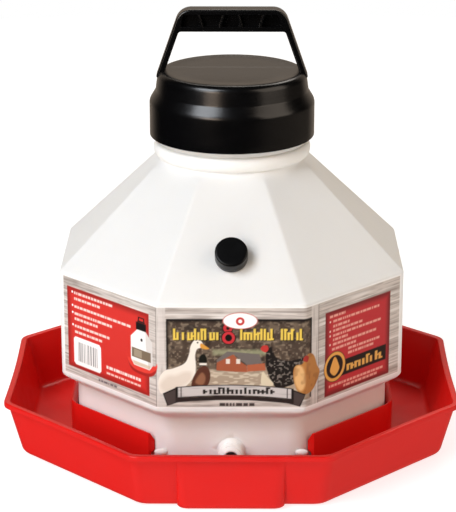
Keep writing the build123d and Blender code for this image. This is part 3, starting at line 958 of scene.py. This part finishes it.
def paint_left(art, colour):
    """Left panel: rows of small print, a bar block and a small picture of the waterer."""
    paint_panel(art, -163.5, 7.5, -66.5, 76, colour, "8E1712")
    # level and right end of each row
    rows = ((71.8, -108), (67.0, -124), (60.2, -87), (54.3, -108), (49.8, -127), (43.6, -113), (38.6, -122))
    for v, right in rows:
        art.row(-155, right, v, 2.0, "F8D9D0", int(v * 10))
    for v in (72.2, 60.8, 54.8, 44.2):
        art.disc(-157.2, v, 0.9, 0.9, "FFFFFF")
    art.shape(
        [
            (-156.5, 12.5), (-154.5, 10.5), (-125.5, 10.5), (-123.5, 12.5), (-123.5, 32.5),
            (-125.5, 34.5), (-154.5, 34.5), (-156.5, 32.5),
        ],
        "FBF9F6", round_it=False,
    )
    random = np.random.RandomState(21)
    at = -151.5
    while at < -128.5:
        width = random.uniform(0.5, 1.8)
        art.block(at, 14, at + width, 30.6, "555555", 0.8, 0.5)
        at += width + random.uniform(0.6, 1.5)
    art.row(-117, -75, 18.2, 2.4, "FBE8E0", 31)
    art.row(-117, -75, 13.2, 1.6, "F8D0C4", 32)
    art.row(-127, -105, 4.4, 1.8, "453A4A", 33, 0.8)
    art.shape(
        [
            (-92, 35), (-88, 31), (-62, 31), (-58, 35), (-59, 29), (-66, 24), (-82, 23.5),
            (-89, 27),
        ],
        "A81A14", 0.7,
    )
    art.shape(
        [
            (-92, 36.5), (-89, 34), (-62, 34), (-58, 37), (-58.5, 32), (-67, 26.5), (-82, 26),
            (-90, 30),
        ],
        "E2382A", 0.7,
    )
    jug = [
        (-79.5, 60.5), (-70.5, 60.5), (-63, 53), (-62.5, 34), (-66, 29.5), (-84, 29.5),
        (-87.5, 34), (-87.5, 53),
    ]
    art.shape(jug, "F1EFEC", 0.6, round_it=False)
    art.shape(
        [
            (-70.5, 60.5), (-63, 53), (-62.5, 34), (-67, 29.5), (-70, 48),
        ],
        "CFC8C2", 0.8, 0.8, round_it=False,
    )
    art.block(-86.5, 36, -64.5, 44, "7B6A55")
    art.block(-84, 37, -75, 43, "B4A58E", 0.6)
    art.shape([(-86, 33), (-65, 33), (-66, 30), (-84, 30)], "C9A77F", 0.8, 0.7, round_it=False)
    art.block(-81.3, 60, -69.7, 66.5, "1B1818")
    art.block(-79.5, 66.5, -71, 68, "241F1F")
    art.lay(art.box(-79, 68, -71.5, 71) - art.box(-77.6, 68, -72.9, 70), "201C1C")
    art.disc(-75, 52.3, 1.3, 1.3, "1D1A1A")


def paint_scene(art):
    """Front picture: a farmyard with a barn, a drake, a goose and hens, in plain flat shapes."""
    panel = art.box(-50.5, 8, 64.5, 74.5)
    art.lay(panel, "15110F")
    view = art.box(-48.5, 8, 62.5, 72, 2.5)
    art.lay(view, "4C3C30")
    art.lay(view * smooth(0.45, 0.8, art.mottle(5, 4, 11)), "71604E", 0.8)
    art.lay(view * smooth(0.55, 0.85, art.mottle(1.6, 1.4, 12)), "A39078", 0.5)
    art.lay(view * smooth(0.6, 0.9, art.mottle(3.5, 3, 13)), "2B221D", 0.7)
    grass = view * (1 - smooth(31, 37, art.v + 3 * art.mottle(9, 9, 14)))
    art.lay(grass, "A8957F")
    art.lay(grass * smooth(0.5, 0.8, art.mottle(4, 1.2, 15)), "D3C4AC", 0.8)
    art.lay(view * art.box(-14, 45, 30, 49, 3), "9DA07A", 0.7)
    art.shape(
        [
            (-11.5, 32), (-11, 40), (-3, 47), (2, 45), (6, 40), (12, 36), (12.5, 30.5), (0, 31),
        ],
        "A4522F", 0.6, round_it=False,
    )
    art.shape(
        [
            (-11.5, 40.5), (-3, 47.8), (22, 45.5), (24, 38), (12.5, 36.5), (2, 45.5), (-11, 38.5),
        ],
        "6E6560", 0.6, round_it=False,
    )
    art.shape([(12.5, 31), (12.5, 36.5), (26, 38), (27, 32)], "B15B36", 0.6, round_it=False)
    for u in (-4, 4):
        art.block(u, 37.5, u + 3, 41.5, "E8DDD0", 0.9)
    goose = [
        (-57, 19), (-55.5, 27), (-51, 32), (-45, 33.5), (-36, 38), (-32.5, 46), (-31.5, 52),
        (-28.5, 56.8),
    ]
    goose += [
        (-24.5, 57.2), (-22, 54), (-23, 51), (-26.5, 49.5), (-28, 44), (-27.5, 36), (-28.5, 28),
        (-34, 20), (-44, 12), (-54, 12),
    ]
    art.shape(goose, "EFE6DA", 0.6)
    shade = [(-56, 19), (-50, 27), (-43, 28), (-36, 31), (-31, 30), (-31, 24), (-37, 19), (-49, 13)]
    art.shape(shade, "CDBBA8", 4.0, 0.5)
    art.shape([(-23.4, 54.5), (-19.5, 52), (-17, 50), (-20, 49.4), (-23.8, 51)], "D9962E")
    art.disc(-26, 55, 0.7, 0.7, "201510")
    drake = [
        (-23, 35), (-19.5, 35.5), (-16.5, 31), (-16.5, 24), (-19.5, 19), (-30, 18), (-30.5, 23),
        (-27, 31),
    ]
    art.shape(drake, "5A2E1C", 0.6)
    art.shape([(-28, 22), (-23, 30), (-20, 26), (-22, 20)], "9A6646", 1.4, 0.8)
    art.shape([(-24.5, 38.5), (-24.5, 43), (-22, 45.4), (-19.5, 43.5), (-19, 38.5)], "15170F", 0.6)
    art.block(-24.6, 36.4, -19, 38, "E8E2D6", soft=0.6)
    hen = [
        (27.5, 49), (30.5, 52), (33, 47), (36, 42), (44, 40), (50, 41), (57, 42.5), (53, 36),
        (52, 24), (44, 18.5), (35, 18), (29.5, 27), (27, 38),
    ]
    art.shape(hen, "1E1916", 0.6)
    art.lay(art.outline(hen, 0.6) * smooth(0.62, 0.85, art.mottle(1.3, 1.1, 17)), "8C8177", 0.7)
    art.shape([(23, 49.5), (24.5, 52.5), (28, 52.6), (29, 49.5), (26.5, 47)], "C02A22")
    buff = [
        (57.5, 41), (60, 44.5), (64.5, 44.5), (68, 41), (71, 33), (74, 27), (70, 18), (64, 12.5),
        (54, 12.5), (49.5, 21), (48.5, 31), (50.5, 36), (55, 37),
    ]
    art.shape(buff, "B87934", 0.6)
    art.shape([(50, 34), (49.8, 22), (54, 15), (58, 20), (57, 31), (54, 36)], "E3B476", 2.0, 0.85)
    art.lay(art.outline(buff, 0.6) * smooth(0.5, 0.9, art.mottle(2.4, 3.6, 18)), "8C5420", 0.45)
    art.shape([(56, 40.5), (58, 44), (61.5, 42.5), (60, 38.5)], "A82A1C")
    art.shape([(23.5, 27), (25, 31), (28, 27), (33, 21), (31, 18.8), (24, 19.5)], "D6C9AC", 0.6)


def paint_title(art):
    """Front head and foot: yellow blocks, red rings, an oval badge and a curved ribbon with its marks."""
    for shift, code in ((0.9, "0E0A08"), (0.0, "E9C64A")):
        for left, right, seed in ((-45, -9.5, 41), (7, 35, 42), (38.5, 59, 43)):
            art.strokes(left + shift, right + shift, 57.2 - shift * 0.6, 66.5 - shift * 0.6, code, seed)
    for u, v, wide in ((-2.5, 67.0, 3.6), (-2.0, 59.0, 5.0)):
        art.disc(u, v, wide + 0.8, wide + 0.6, "140C0A")
        art.lay(art.oval(u, v, wide, wide) - art.oval(u, v, wide - 2.3, wide - 2.1), "C8202A")
    art.disc(7, 73, 13.6, 6.9, "B8342E")
    art.disc(7, 73, 13.0, 6.3, "FCFAF7")
    art.disc(7, 72.6, 3.4, 3.4, "C62A28")
    art.disc(7, 72.6, 1.5, 1.5, "FCFAF7")
    left_tail = [(-42, 18), (-53.5, 12.5), (-50, 2), (-39, 6)]
    right_tail = [(47, 16.5), (58.5, 12), (54, 1.5), (44, 4.5)]
    for side, tail in ((-1, left_tail), (1, right_tail)):
        art.shape(tail, "201A19", round_it=False)
        face = [(u - side * 0.9, v - 0.9 + (1.8 if v < 8 else 0)) for u, v in tail]
        art.shape(face, "4B403D", round_it=False)
    middle = 3.0
    sag = ((art.u - middle) / 46) ** 2
    top = 20.0 - 2.6 * sag - (art.u - middle) * 0.012
    foot = 10.4 - 2.6 * sag - (art.u - middle) * 0.012
    span = np.clip(np.minimum(art.u + 43.5, 49 - art.u) / 0.5 + 0.5, 0, 1)
    ribbon = np.clip(np.minimum(top - art.v, art.v - foot) / 0.5 + 0.5, 0, 1) * span
    under = np.clip(np.minimum(foot - art.v, art.v - foot + 3.4) / 0.5 + 0.5, 0, 1) * span
    art.lay(under, "2A2220")
    art.lay(ribbon, "1A1514")
    inner = np.clip(np.minimum(top - 0.8 - art.v, art.v - foot - 0.8) / 0.5 + 0.5, 0, 1)
    inner = inner * np.clip(np.minimum(art.u + 41.5, 47 - art.u) / 0.5 + 0.5, 0, 1)
    art.lay(inner, "C9C3C0")
    art.lay(inner * smooth(0.5, 0.9, art.mottle(14, 0.6, 19)), "8F8884", 0.6)
    for left in (-39.5, 43.5):
        art.lay(inner * art.box(left, 0, left + 0.8, 30), "2B2524")
    art.strokes(-22, 33, 12.2, 17.6, "17130F", 51, 3.4, 1.9)
    art.row(-9, 19, 3.4, 2.6, "2C2220", 52)


def paint_right(art, colour):
    """Right panel: rows of small print, a round drop mark and a dark bar with yellow blocks."""
    paint_panel(art, 80, 3, 156.5, 73.5, colour, "5E0D10")
    # level, left end and right end of each row
    rows = ((69, 85, 103), (64.6, 89, 145), (60.4, 89, 108), (56.6, 89, 125), (52.6, 89, 147))
    rows += ((49, 89, 107), (45.2, 89, 140), (41.2, 88, 116), (37.4, 107, 146), (33.6, 107, 137))
    rows += ((10.4, 85, 149), (7, 102, 142))
    for v, left, right in rows:
        art.row(left, right, v, 1.9, "F0A898", int(v * 7))
    for v in (64.8, 56.8, 53, 45.6):
        art.disc(85.6, v, 0.8, 0.8, "F6D8CC")
    art.block(99, 16, 152.5, 29.2, "1A100C")
    art.strokes(105.5, 150, 18.8, 26.4, "E8AA4A", 61, 4.6, 2.9)
    art.disc(91.5, 26, 12.8, 12.8, "1A100C")
    art.disc(91.5, 26, 12.2, 12.2, "E9A444")
    art.disc(91.5, 26, 9.6, 9.6, "1A100C")
    art.shape([(91.5, 34.2), (96.0, 27), (96.6, 22.6), (91.5, 18.4), (86.4, 22.6), (87.0, 27)], "E9A444")


def label_mesh(settings):
    """The label sheet: its printed face on a fine grid, its edges and its back."""
    bend_end = LABEL_FLAT + LABEL_CORNER * math.pi / 4
    diagonal = (LABEL_REACH - float(wrap_point(np.array([bend_end]), 0)[0][0])) * math.sqrt(2)
    reach = bend_end + diagonal
    grain = settings.grain / MM
    # the small share keeps a stored pitch from losing a row to rounding
    us = np.linspace(-reach, reach, int(2 * reach / grain + 0.001))
    vs = np.linspace(0, LABEL_HEIGHT, int(LABEL_HEIGHT / grain + 0.001))
    count, rows = len(us), len(vs)
    x, y = wrap_point(us, 0)
    front = np.stack([np.tile(x, rows), np.tile(y, rows), np.repeat(vs + LABEL_LOW.z, count)], 1)
    bx, by = wrap_point(us, LABEL_LIFT - 0.05)
    low = np.stack([bx, by, np.full(count, LABEL_LOW.z)], 1)
    high = np.stack([bx, by, np.full(count, LABEL_HIGH.z)], 1)
    verts = np.concatenate([front, low, high])
    base, top = rows * count, rows * count + count
    faces = []
    for r in range(rows - 1):
        for c in range(count - 1):
            k = r * count + c
            faces.append((k, k + 1, k + count + 1, k + count))
    for c in range(count - 1):
        faces.append((base + c, base + c + 1, c + 1, c))
        faces.append(((rows - 1) * count + c, (rows - 1) * count + c + 1, top + c + 1, top + c))
        faces.append((base + c + 1, base + c, top + c, top + c + 1))
    faces.append(tuple([top, *[r * count for r in reversed(range(rows))], base]))
    right = [r * count + count - 1 for r in range(rows)]
    faces.append(tuple([base + count - 1, *right, top + count - 1]))
    return verts, faces, us, vs


class WATERER_OT_label(bpy.types.Operator):
    """Builds the wrap label and draws its print as colours on its mesh."""

    bl_idname = "waterer.label"
    bl_label = "Label"

    def execute(self, context):
        settings = context.scene.waterer_label
        verts, faces, us, vs = label_mesh(settings)
        label = finish_mesh("printed_label", verts, faces, printed_film(), 40)
        art = Print(us, vs, settings.wood[:3])
        paint_wood(art)
        paint_left(art, settings.panel[:3])
        paint_right(art, "C21F27")
        paint_scene(art)
        paint_title(art)
        edge, white = 0.9, "FDFBF8"
        art.lay(1 - art.box(us[0] + edge, edge, us[-1] - edge, vs[-1] - edge), white)
        colours = np.ones((len(verts), 4), np.float32)
        colours[:] = linear(white)
        colours[: len(us) * len(vs), :3] = art.ink.reshape(-1, 3)
        layer = label.data.color_attributes.new(PRINT_LAYER, "FLOAT_COLOR", "POINT")
        layer.data.foreach_set("color", colours.ravel())
        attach(label, "fount")
        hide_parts("wrap_label")
        return {"FINISHED"}


# Lid and handle ---------------------------------------------------------------------------------
# The lid's levels and radii: its flare, its crown, the sunk disc on top, and its stepped bore
FLARE_TOP = 292.0
FLARE_ROUND = 8.0
FLARE_LEVEL = 281.6
CROWN_FOOT = 62.2
CROWN_TOP = 60.8
CROWN_ROUND = 6.0
LID_TOP = 308.0
DISC_TOP = 307.85
DISC_RADIUS = 51.2
LID_BORE = 64.2
LID_STEP = 282.5
CROWN_BORE = 56.0
ROOF = 3.9


def lid_profile():
    """Radius and height of the lid: up its outside, over the disc and down its inside to the foot."""
    outer = [(LID_BORE + 0.4, LID_FOOT), (LID_RADIUS - 0.9, LID_FOOT)]
    outer += arc((LID_RADIUS - 0.9, LID_FOOT + 0.9), 0.9, -60, 0, 3)
    outer += [(LID_RADIUS, 262.0), (LID_RADIUS, 272.0), (LID_RADIUS, 279.0)]
    outer += arc((LID_RADIUS - FLARE_ROUND, FLARE_LEVEL), FLARE_ROUND, 0, 31, 7)
    outer += [(64.2, 288.8), (CROWN_FOOT + 0.35, FLARE_TOP - 0.5), (CROWN_FOOT + 0.05, FLARE_TOP)]
    outer += [(CROWN_FOOT - 0.05, FLARE_TOP + 0.6), (61.6, 297.0)]
    outer += arc((CROWN_TOP - CROWN_ROUND, LID_TOP - CROWN_ROUND), CROWN_ROUND, 4, 90, 12)
    outer += [(DISC_RADIUS + 0.6, LID_TOP - 0.02), (DISC_RADIUS, DISC_TOP)]
    disc = [(40.0, DISC_TOP), (20.0, DISC_TOP), (0.01, DISC_TOP)]
    roof = LID_TOP - ROOF
    inner = [(0.01, roof), (CROWN_BORE - 1, roof), (CROWN_BORE, roof - 1.0)]
    inner += [(CROWN_BORE, LID_STEP + 0.5), (CROWN_BORE + 0.5, LID_STEP), (LID_BORE, LID_STEP)]
    fall = [(LID_BORE, z) for z in np.arange(LID_STEP - 0.6, LID_FOOT + 0.8, -0.5)]
    start = len(outer) + len(disc) + len(inner)
    return outer + disc + inner + fall, (start, start + len(fall))


# The handle: half its width at foot and top, its legs, its corners, and the hollow cells of its grip
HANDLE_FOOT = 303.0
HANDLE_HALF_FOOT = 61.8
HANDLE_HALF_TOP = 42.2
HANDLE_LEAN = (HANDLE_HALF_FOOT - HANDLE_HALF_TOP) / (HANDLE_TOP - HANDLE_FOOT)
HANDLE_LEG = 5.6
HANDLE_SET_IN = 0.1
HANDLE_CORNER = 13.0
INNER_CORNER = 2.6
GRIP_BOTTOM = 340.5
WEB = 2.5
CELL_LEVELS = (344.6, 354.5)
CELL_END = 41.6
RIB_PLACES = (-25.7, -8.1, 6.1, 24.1, 38.8)
RIB_LEAN = 1.5
RIB_HALF = 0.75


def leg_outside(z):
    """How far out the handle's outer face stands at a level."""
    return HANDLE_HALF_FOOT - HANDLE_LEAN * (z - HANDLE_FOOT) - HANDLE_SET_IN


def handle_outline():
    """The handle's outline: up the outside of one leg, over the grip, down the other, and back inside."""
    lean = math.atan(HANDLE_LEAN)
    tilt = math.degrees(lean)
    bend = HANDLE_TOP - HANDLE_CORNER
    right = [(leg_outside(HANDLE_FOOT), HANDLE_FOOT)]
    right += arc((leg_outside(bend) - HANDLE_CORNER / math.cos(lean), bend), HANDLE_CORNER, tilt, 90, 12)
    bend = GRIP_BOTTOM - INNER_CORNER
    centre = (leg_outside(bend) - HANDLE_LEG - INNER_CORNER / math.cos(lean), bend)
    inside = arc(centre, INNER_CORNER, 90, tilt, 5)
    inside += [(leg_outside(HANDLE_FOOT) - HANDLE_LEG, HANDLE_FOOT)]
    left = [(-x, z) for x, z in reversed(right)]
    return right + left + [(-x, z) for x, z in reversed(inside)] + inside


def grip_cells():
    """Outlines of the hollow cells along the grip, between its slanted ribs."""
    low, high = CELL_LEVELS
    edges = [(-CELL_END + 1.6, -CELL_END - 0.9)]
    for place, middle in enumerate(RIB_PLACES):
        tip = RIB_LEAN if place % 2 else -RIB_LEAN
        edges.append((middle + tip, middle - tip))
    edges.append((CELL_END - 1.6, CELL_END + 0.9))
    cells = []
    for (top_left, low_left), (top_right, low_right) in zip(edges, edges[1:]):
        if top_right - top_left > 4 * RIB_HALF:
            floor = [(low_left + RIB_HALF, low), (low_right - RIB_HALF, low)]
            cells.append(floor + [(top_right - RIB_HALF, high), (top_left + RIB_HALF, high)])
    return cells


def ridge(points, width, height, level):
    """A low ridge along a row of points on a level face, its foot sunk a little below."""
    rings = []
    for place, (x, y) in enumerate(points):
        before, after = points[max(place - 1, 0)], points[min(place + 1, len(points) - 1)]
        along = Vector((after[0] - before[0], after[1] - before[1])).normalized()
        dx, dy = -along.y * width / 2, along.x * width / 2
        foot = [(x - dx, y - dy, level - 0.1), (x + dx, y + dy, level - 0.1)]
        crest = [(x + dx / 3, y + dy / 3, level + height), (x - dx / 3, y - dy / 3, level + height)]
        rings.append(foot + crest)
    return skin(rings)


# The stop cap, and how far its foot stands off the shoulder
CAP_RADIUS = 12.9
CAP_BORE = 10.5
CAP_LENGTH = 11.5
CAP_ROOF = 2.0
CAP_LIFT = 0.5


class WATERER_OT_lid(bpy.types.Operator):
    """Builds the lid, its handle and the stop cap, and gives the gasket and the liner their rubber."""

    bl_idname = "waterer.lid"
    bl_label = "Lid, handle and caps"

    def execute(self, context):
        settings = context.scene.waterer_lid
        plastic = lid_plastic("moulded_black_polypropylene", settings.colour, rough=0.22, specular=0.5)
        profile, zone = lid_profile()
        rib = thread(LID_THREAD - LID_PITCH / 2, LID_PITCH, THREAD_TURNS, -2.9, 4.0)
        lid = finish_mesh("screw_lid", *closed_lathe(profile, 192, rib, zone), plastic, 45)
        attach(lid, "lid")
        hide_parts("lid_handle")
        handle = self.make_handle(settings.grip_depth / MM, plastic)
        for piece in (handle, self.disc_marks(plastic)):
            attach(piece, "lid")
        self.make_cap(lid_plastic("satin_black_polypropylene", settings.colour, rough=0.3, specular=0.25))
        rubber = seal_rubber()
        for name in ("lid_gasket", "cap_liner"):
            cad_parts[name].data.materials.clear()
            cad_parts[name].data.materials.append(rubber)
        return {"FINISHED"}

    def make_handle(self, grip, plastic):
        """The carrying handle: one plate with ribbed cells sunk into both faces of its grip."""
        handle = finish_mesh("carry_handle", *plate(handle_outline(), grip), plastic)
        rounded(handle, 1.5, 4)
        # each face is cut almost to the middle, which leaves a thin web there
        for side in (-1, 1):
            for cell in grip_cells():
                cutter = finish_mesh("cutter", *plate(cell, grip - WEB), plastic)
                cutter.data.transform(Matrix.Translation((0, side * grip / 2 * MM, 0)))
                subtract(handle, cutter)
        return rounded(handle, 0.5, 3)

    def disc_marks(self, plastic):
        """The faint weld line across the lid's disc and the arc round its right leg."""
        wide, proud = 0.9, 0.05
        weld = ridge([(-50.0, 9.5), (50.0, 9.5)], wide, proud, DISC_TOP)
        swirl = ridge(arc((62.0, 0.0), 32.0, 128, 232, 24), wide, proud, DISC_TOP)
        shift = len(weld[0])
        verts = np.concatenate([weld[0], swirl[0]])
        faces = weld[1] + [tuple(shift + k for k in face) for face in swirl[1]]
        return finish_mesh("disc_marks", verts, faces, plastic)

    def make_cap(self, plastic):
        """The stop cap that sits on the shoulder boss."""
        foot, tip = CAP_LIFT, CAP_LIFT + CAP_LENGTH
        roof = tip - CAP_ROOF
        profile = [(CAP_BORE + 0.3, foot), (CAP_RADIUS - 0.6, foot), (CAP_RADIUS, foot + 0.6)]
        profile += [(CAP_RADIUS, foot + 4), (CAP_RADIUS - 0.05, tip - 1.6)]
        profile += arc((CAP_RADIUS - 1.6, tip - 1.6), 1.55, 10, 90, 6)
        profile += [(CAP_RADIUS - 3.2, tip - 0.05), (0.01, tip - 0.05)]
        profile += [(0.01, roof), (CAP_BORE - 0.4, roof), (CAP_BORE, roof - 0.4)]
        fall = [(CAP_BORE, z) for z in np.arange(roof - 0.8, foot + 0.4, -0.25)]
        zone = (len(profile), len(profile) + len(fall))
        rib = thread(CAP_THREAD - CAP_PITCH / 2, CAP_PITCH, THREAD_TURNS, -1.3, 1.6, 0.1)
        cap = finish_mesh("outlet_stop_cap", *closed_lathe(profile + fall, 96, rib, zone), plastic, 45)
        place_on(cap, BOSS_ORIGIN, BOSS_NORMAL)
        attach(cap, "cap")
        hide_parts("stop_cap")


# Stage ------------------------------------------------------------------------------------------
FLOOR_RADIUS = 1.7
FLOOR_LEVEL = -0.0002
AIM = (-3.3, 0.0, 148.8)

# A high key at the front left with two fills, a warm panel on the right and a light behind: each with its
# place, aim and size in metres, its power in watts and its colour
LIGHTS = (
    ("key_light", (-1.15, -1.2, 1.75), (0, 0, 0.2), (1.2, 0.9), 33, "F4F9FF"),
    ("front_light", (-1.6, -1.85, 1.25), (0, 0, 0.15), (1.1, 1.2), 18, "F4F9FF"),
    ("low_light", (-1.2, -2.1, 0.75), (0, 0, 0.1), (0.9, 0.8), 15, "FFE6CE"),
    ("right_panel", (2.0, -0.9, 1.2), (0, 0, 0.15), (2.0, 2.0), 25, "FFEEDC"),
    ("back_light", (0.2, 1.5, 1.9), (0, 0, 0.15), (1.8, 1.0), 24, "FFF8EE"),
)

# How high the sweep behind and the glow at the low right reach, and how bright they get
EASED = {"interpolation_type": "SMOOTHSTEP", "To Min": 0.004}
SWEEP = {**EASED, "From Min": 0.55, "From Max": 0.9, "To Max": 1.0}
GLOW = {**EASED, "From Min": 0.8, "From Max": 1.4, "To Max": 0.6}
GLOW_FALL = -1.4


def soft_box(name, place, aim, size, power, colour):
    """A rectangular soft light aimed at a point, in metres."""
    data = bpy.data.lights.new(name, "AREA")
    data.shape = "RECTANGLE"
    data.size, data.size_y = size
    data.energy = power
    data.color = linear(colour)[:3]
    lamp = bpy.data.objects.new(name, data)
    lamp.location = place
    lamp.rotation_euler = (Vector(aim) - Vector(place)).to_track_quat("-Z", "Y").to_euler()
    bpy.context.scene.collection.objects.link(lamp)
    return lamp


class WATERER_OT_stage(bpy.types.Operator):
    """Sets the floor, the soft light and the camera."""

    bl_idname = "waterer.stage"
    bl_label = "Stage"

    def execute(self, context):
        settings = context.scene.waterer_stage
        mesh = bpy.data.meshes.new("studio_floor")
        bearing = np.linspace(0, 2 * math.pi, 96, endpoint=False)
        disc = [(FLOOR_RADIUS * math.cos(a), FLOOR_RADIUS * math.sin(a), FLOOR_LEVEL) for a in bearing]
        mesh.from_pydata(disc, [], [tuple(range(len(disc)))])
        mesh.materials.append(studio_paper())
        floor = bpy.data.objects.new("studio_floor", mesh)
        context.scene.collection.objects.link(floor)
        floor.visible_glossy = False
        self.light(context)
        self.shoot(context, settings)
        return {"FINISHED"}

    def light(self, context):
        """The soft lights, and a surround that is white to the camera but a pale sweep to the object."""
        for row in LIGHTS:
            soft_box(*row)
        world = bpy.data.worlds.new("studio_surround")
        context.scene.world = world
        world.use_nodes = True
        tree = world.node_tree
        back = tree.nodes["Background"]
        way = node(tree, "ShaderNodeTexCoord")
        axes = node(tree, "ShaderNodeSeparateXYZ", {}, {"Vector": way.outputs["Generated"]})
        behind = node(tree, "ShaderNodeMapRange", SWEEP, {"Value": axes.outputs["Y"]})
        fall = {"operation": "MULTIPLY_ADD", 1: GLOW_FALL}
        low_right = node(tree, "ShaderNodeMath", fall, {0: axes.outputs["Z"], 2: axes.outputs["X"]})
        beside = node(tree, "ShaderNodeMapRange", GLOW, {"Value": low_right.outputs["Value"]})
        ends = {0: behind.outputs["Result"], 1: beside.outputs["Result"]}
        either = node(tree, "ShaderNodeMath", {"operation": "MAXIMUM"}, ends)
        dark_to_pale = {"data_type": "RGBA", FIRST: linear("000000"), SECOND: linear("AD9E8F")}
        sweep = node(tree, "ShaderNodeMix", dark_to_pale, {0: either.outputs["Value"]})
        seen = node(tree, "ShaderNodeLightPath")
        links = {0: seen.outputs["Is Camera Ray"], FIRST: sweep.outputs[MIXED]}
        shown = node(tree, "ShaderNodeMix", {"data_type": "RGBA", SECOND: linear("FFFFFF")}, links)
        tree.links.new(shown.outputs[MIXED], back.inputs["Color"])
        context.scene.view_settings.view_transform = "Standard"

    def shoot(self, context, settings):
        """The camera, a long lens looking a little down at the front."""
        data = bpy.data.cameras.new("camera")
        data.sensor_fit = "AUTO"
        data.sensor_width = 36.0
        data.lens = settings.lens
        camera = bpy.data.objects.new("camera", data)
        aim = Vector(AIM) * MM
        turn, rise = settings.azimuth, settings.elevation
        back = Vector((math.sin(turn) * math.cos(rise), -math.cos(turn) * math.cos(rise), math.sin(rise)))
        camera.location = aim + back * settings.distance
        camera.rotation_euler = (-back).to_track_quat("-Z", "Y").to_euler()
        context.scene.collection.objects.link(camera)
        context.scene.camera = camera


class WATERER_PT_panel(bpy.types.Panel):
    """Lists the waterer's settings and builders."""

    bl_idname = "WATERER_PT_panel"
    bl_label = "Poultry Waterer"
    bl_space_type = "VIEW_3D"
    bl_region_type = "UI"
    bl_category = "Waterer"

    def draw(self, context):
        for group, operator in (
            ("waterer_tray", "waterer.tray"),
            ("waterer_jug", "waterer.jug"),
            ("waterer_label", "waterer.label"),
            ("waterer_lid", "waterer.lid"),
            ("waterer_stage", "waterer.stage"),
        ):
            settings = getattr(context.scene, group)
            column = self.layout.column(align=True)
            for name in settings.__annotations__:
                column.prop(settings, name)
            column.operator(operator)


SETTINGS = {
    "waterer_tray": WatererTraySettings,
    "waterer_jug": WatererJugSettings,
    "waterer_label": WatererLabelSettings,
    "waterer_lid": WatererLidSettings,
    "waterer_stage": WatererStageSettings,
}
OPERATORS = (WATERER_OT_tray, WATERER_OT_jug, WATERER_OT_label, WATERER_OT_lid, WATERER_OT_stage)


def register():
    """Registers the settings, the operators and the panel."""
    for name, group in SETTINGS.items():
        bpy.utils.register_class(group)
        setattr(bpy.types.Scene, name, bpy.props.PointerProperty(type=group))
    for operator in OPERATORS:
        bpy.utils.register_class(operator)
    bpy.utils.register_class(WATERER_PT_panel)


def unregister():
    """Removes what register added."""
    bpy.utils.unregister_class(WATERER_PT_panel)
    for operator in reversed(OPERATORS):
        bpy.utils.unregister_class(operator)
    for name, group in SETTINGS.items():
        delattr(bpy.types.Scene, name)
        bpy.utils.unregister_class(group)


def main():
    """Builds everything."""
    register()
    bpy.ops.waterer.tray()
    bpy.ops.waterer.jug()
    bpy.ops.waterer.label()
    bpy.ops.waterer.lid()
    bpy.ops.waterer.stage()


if __name__ == "__main__":
    main()
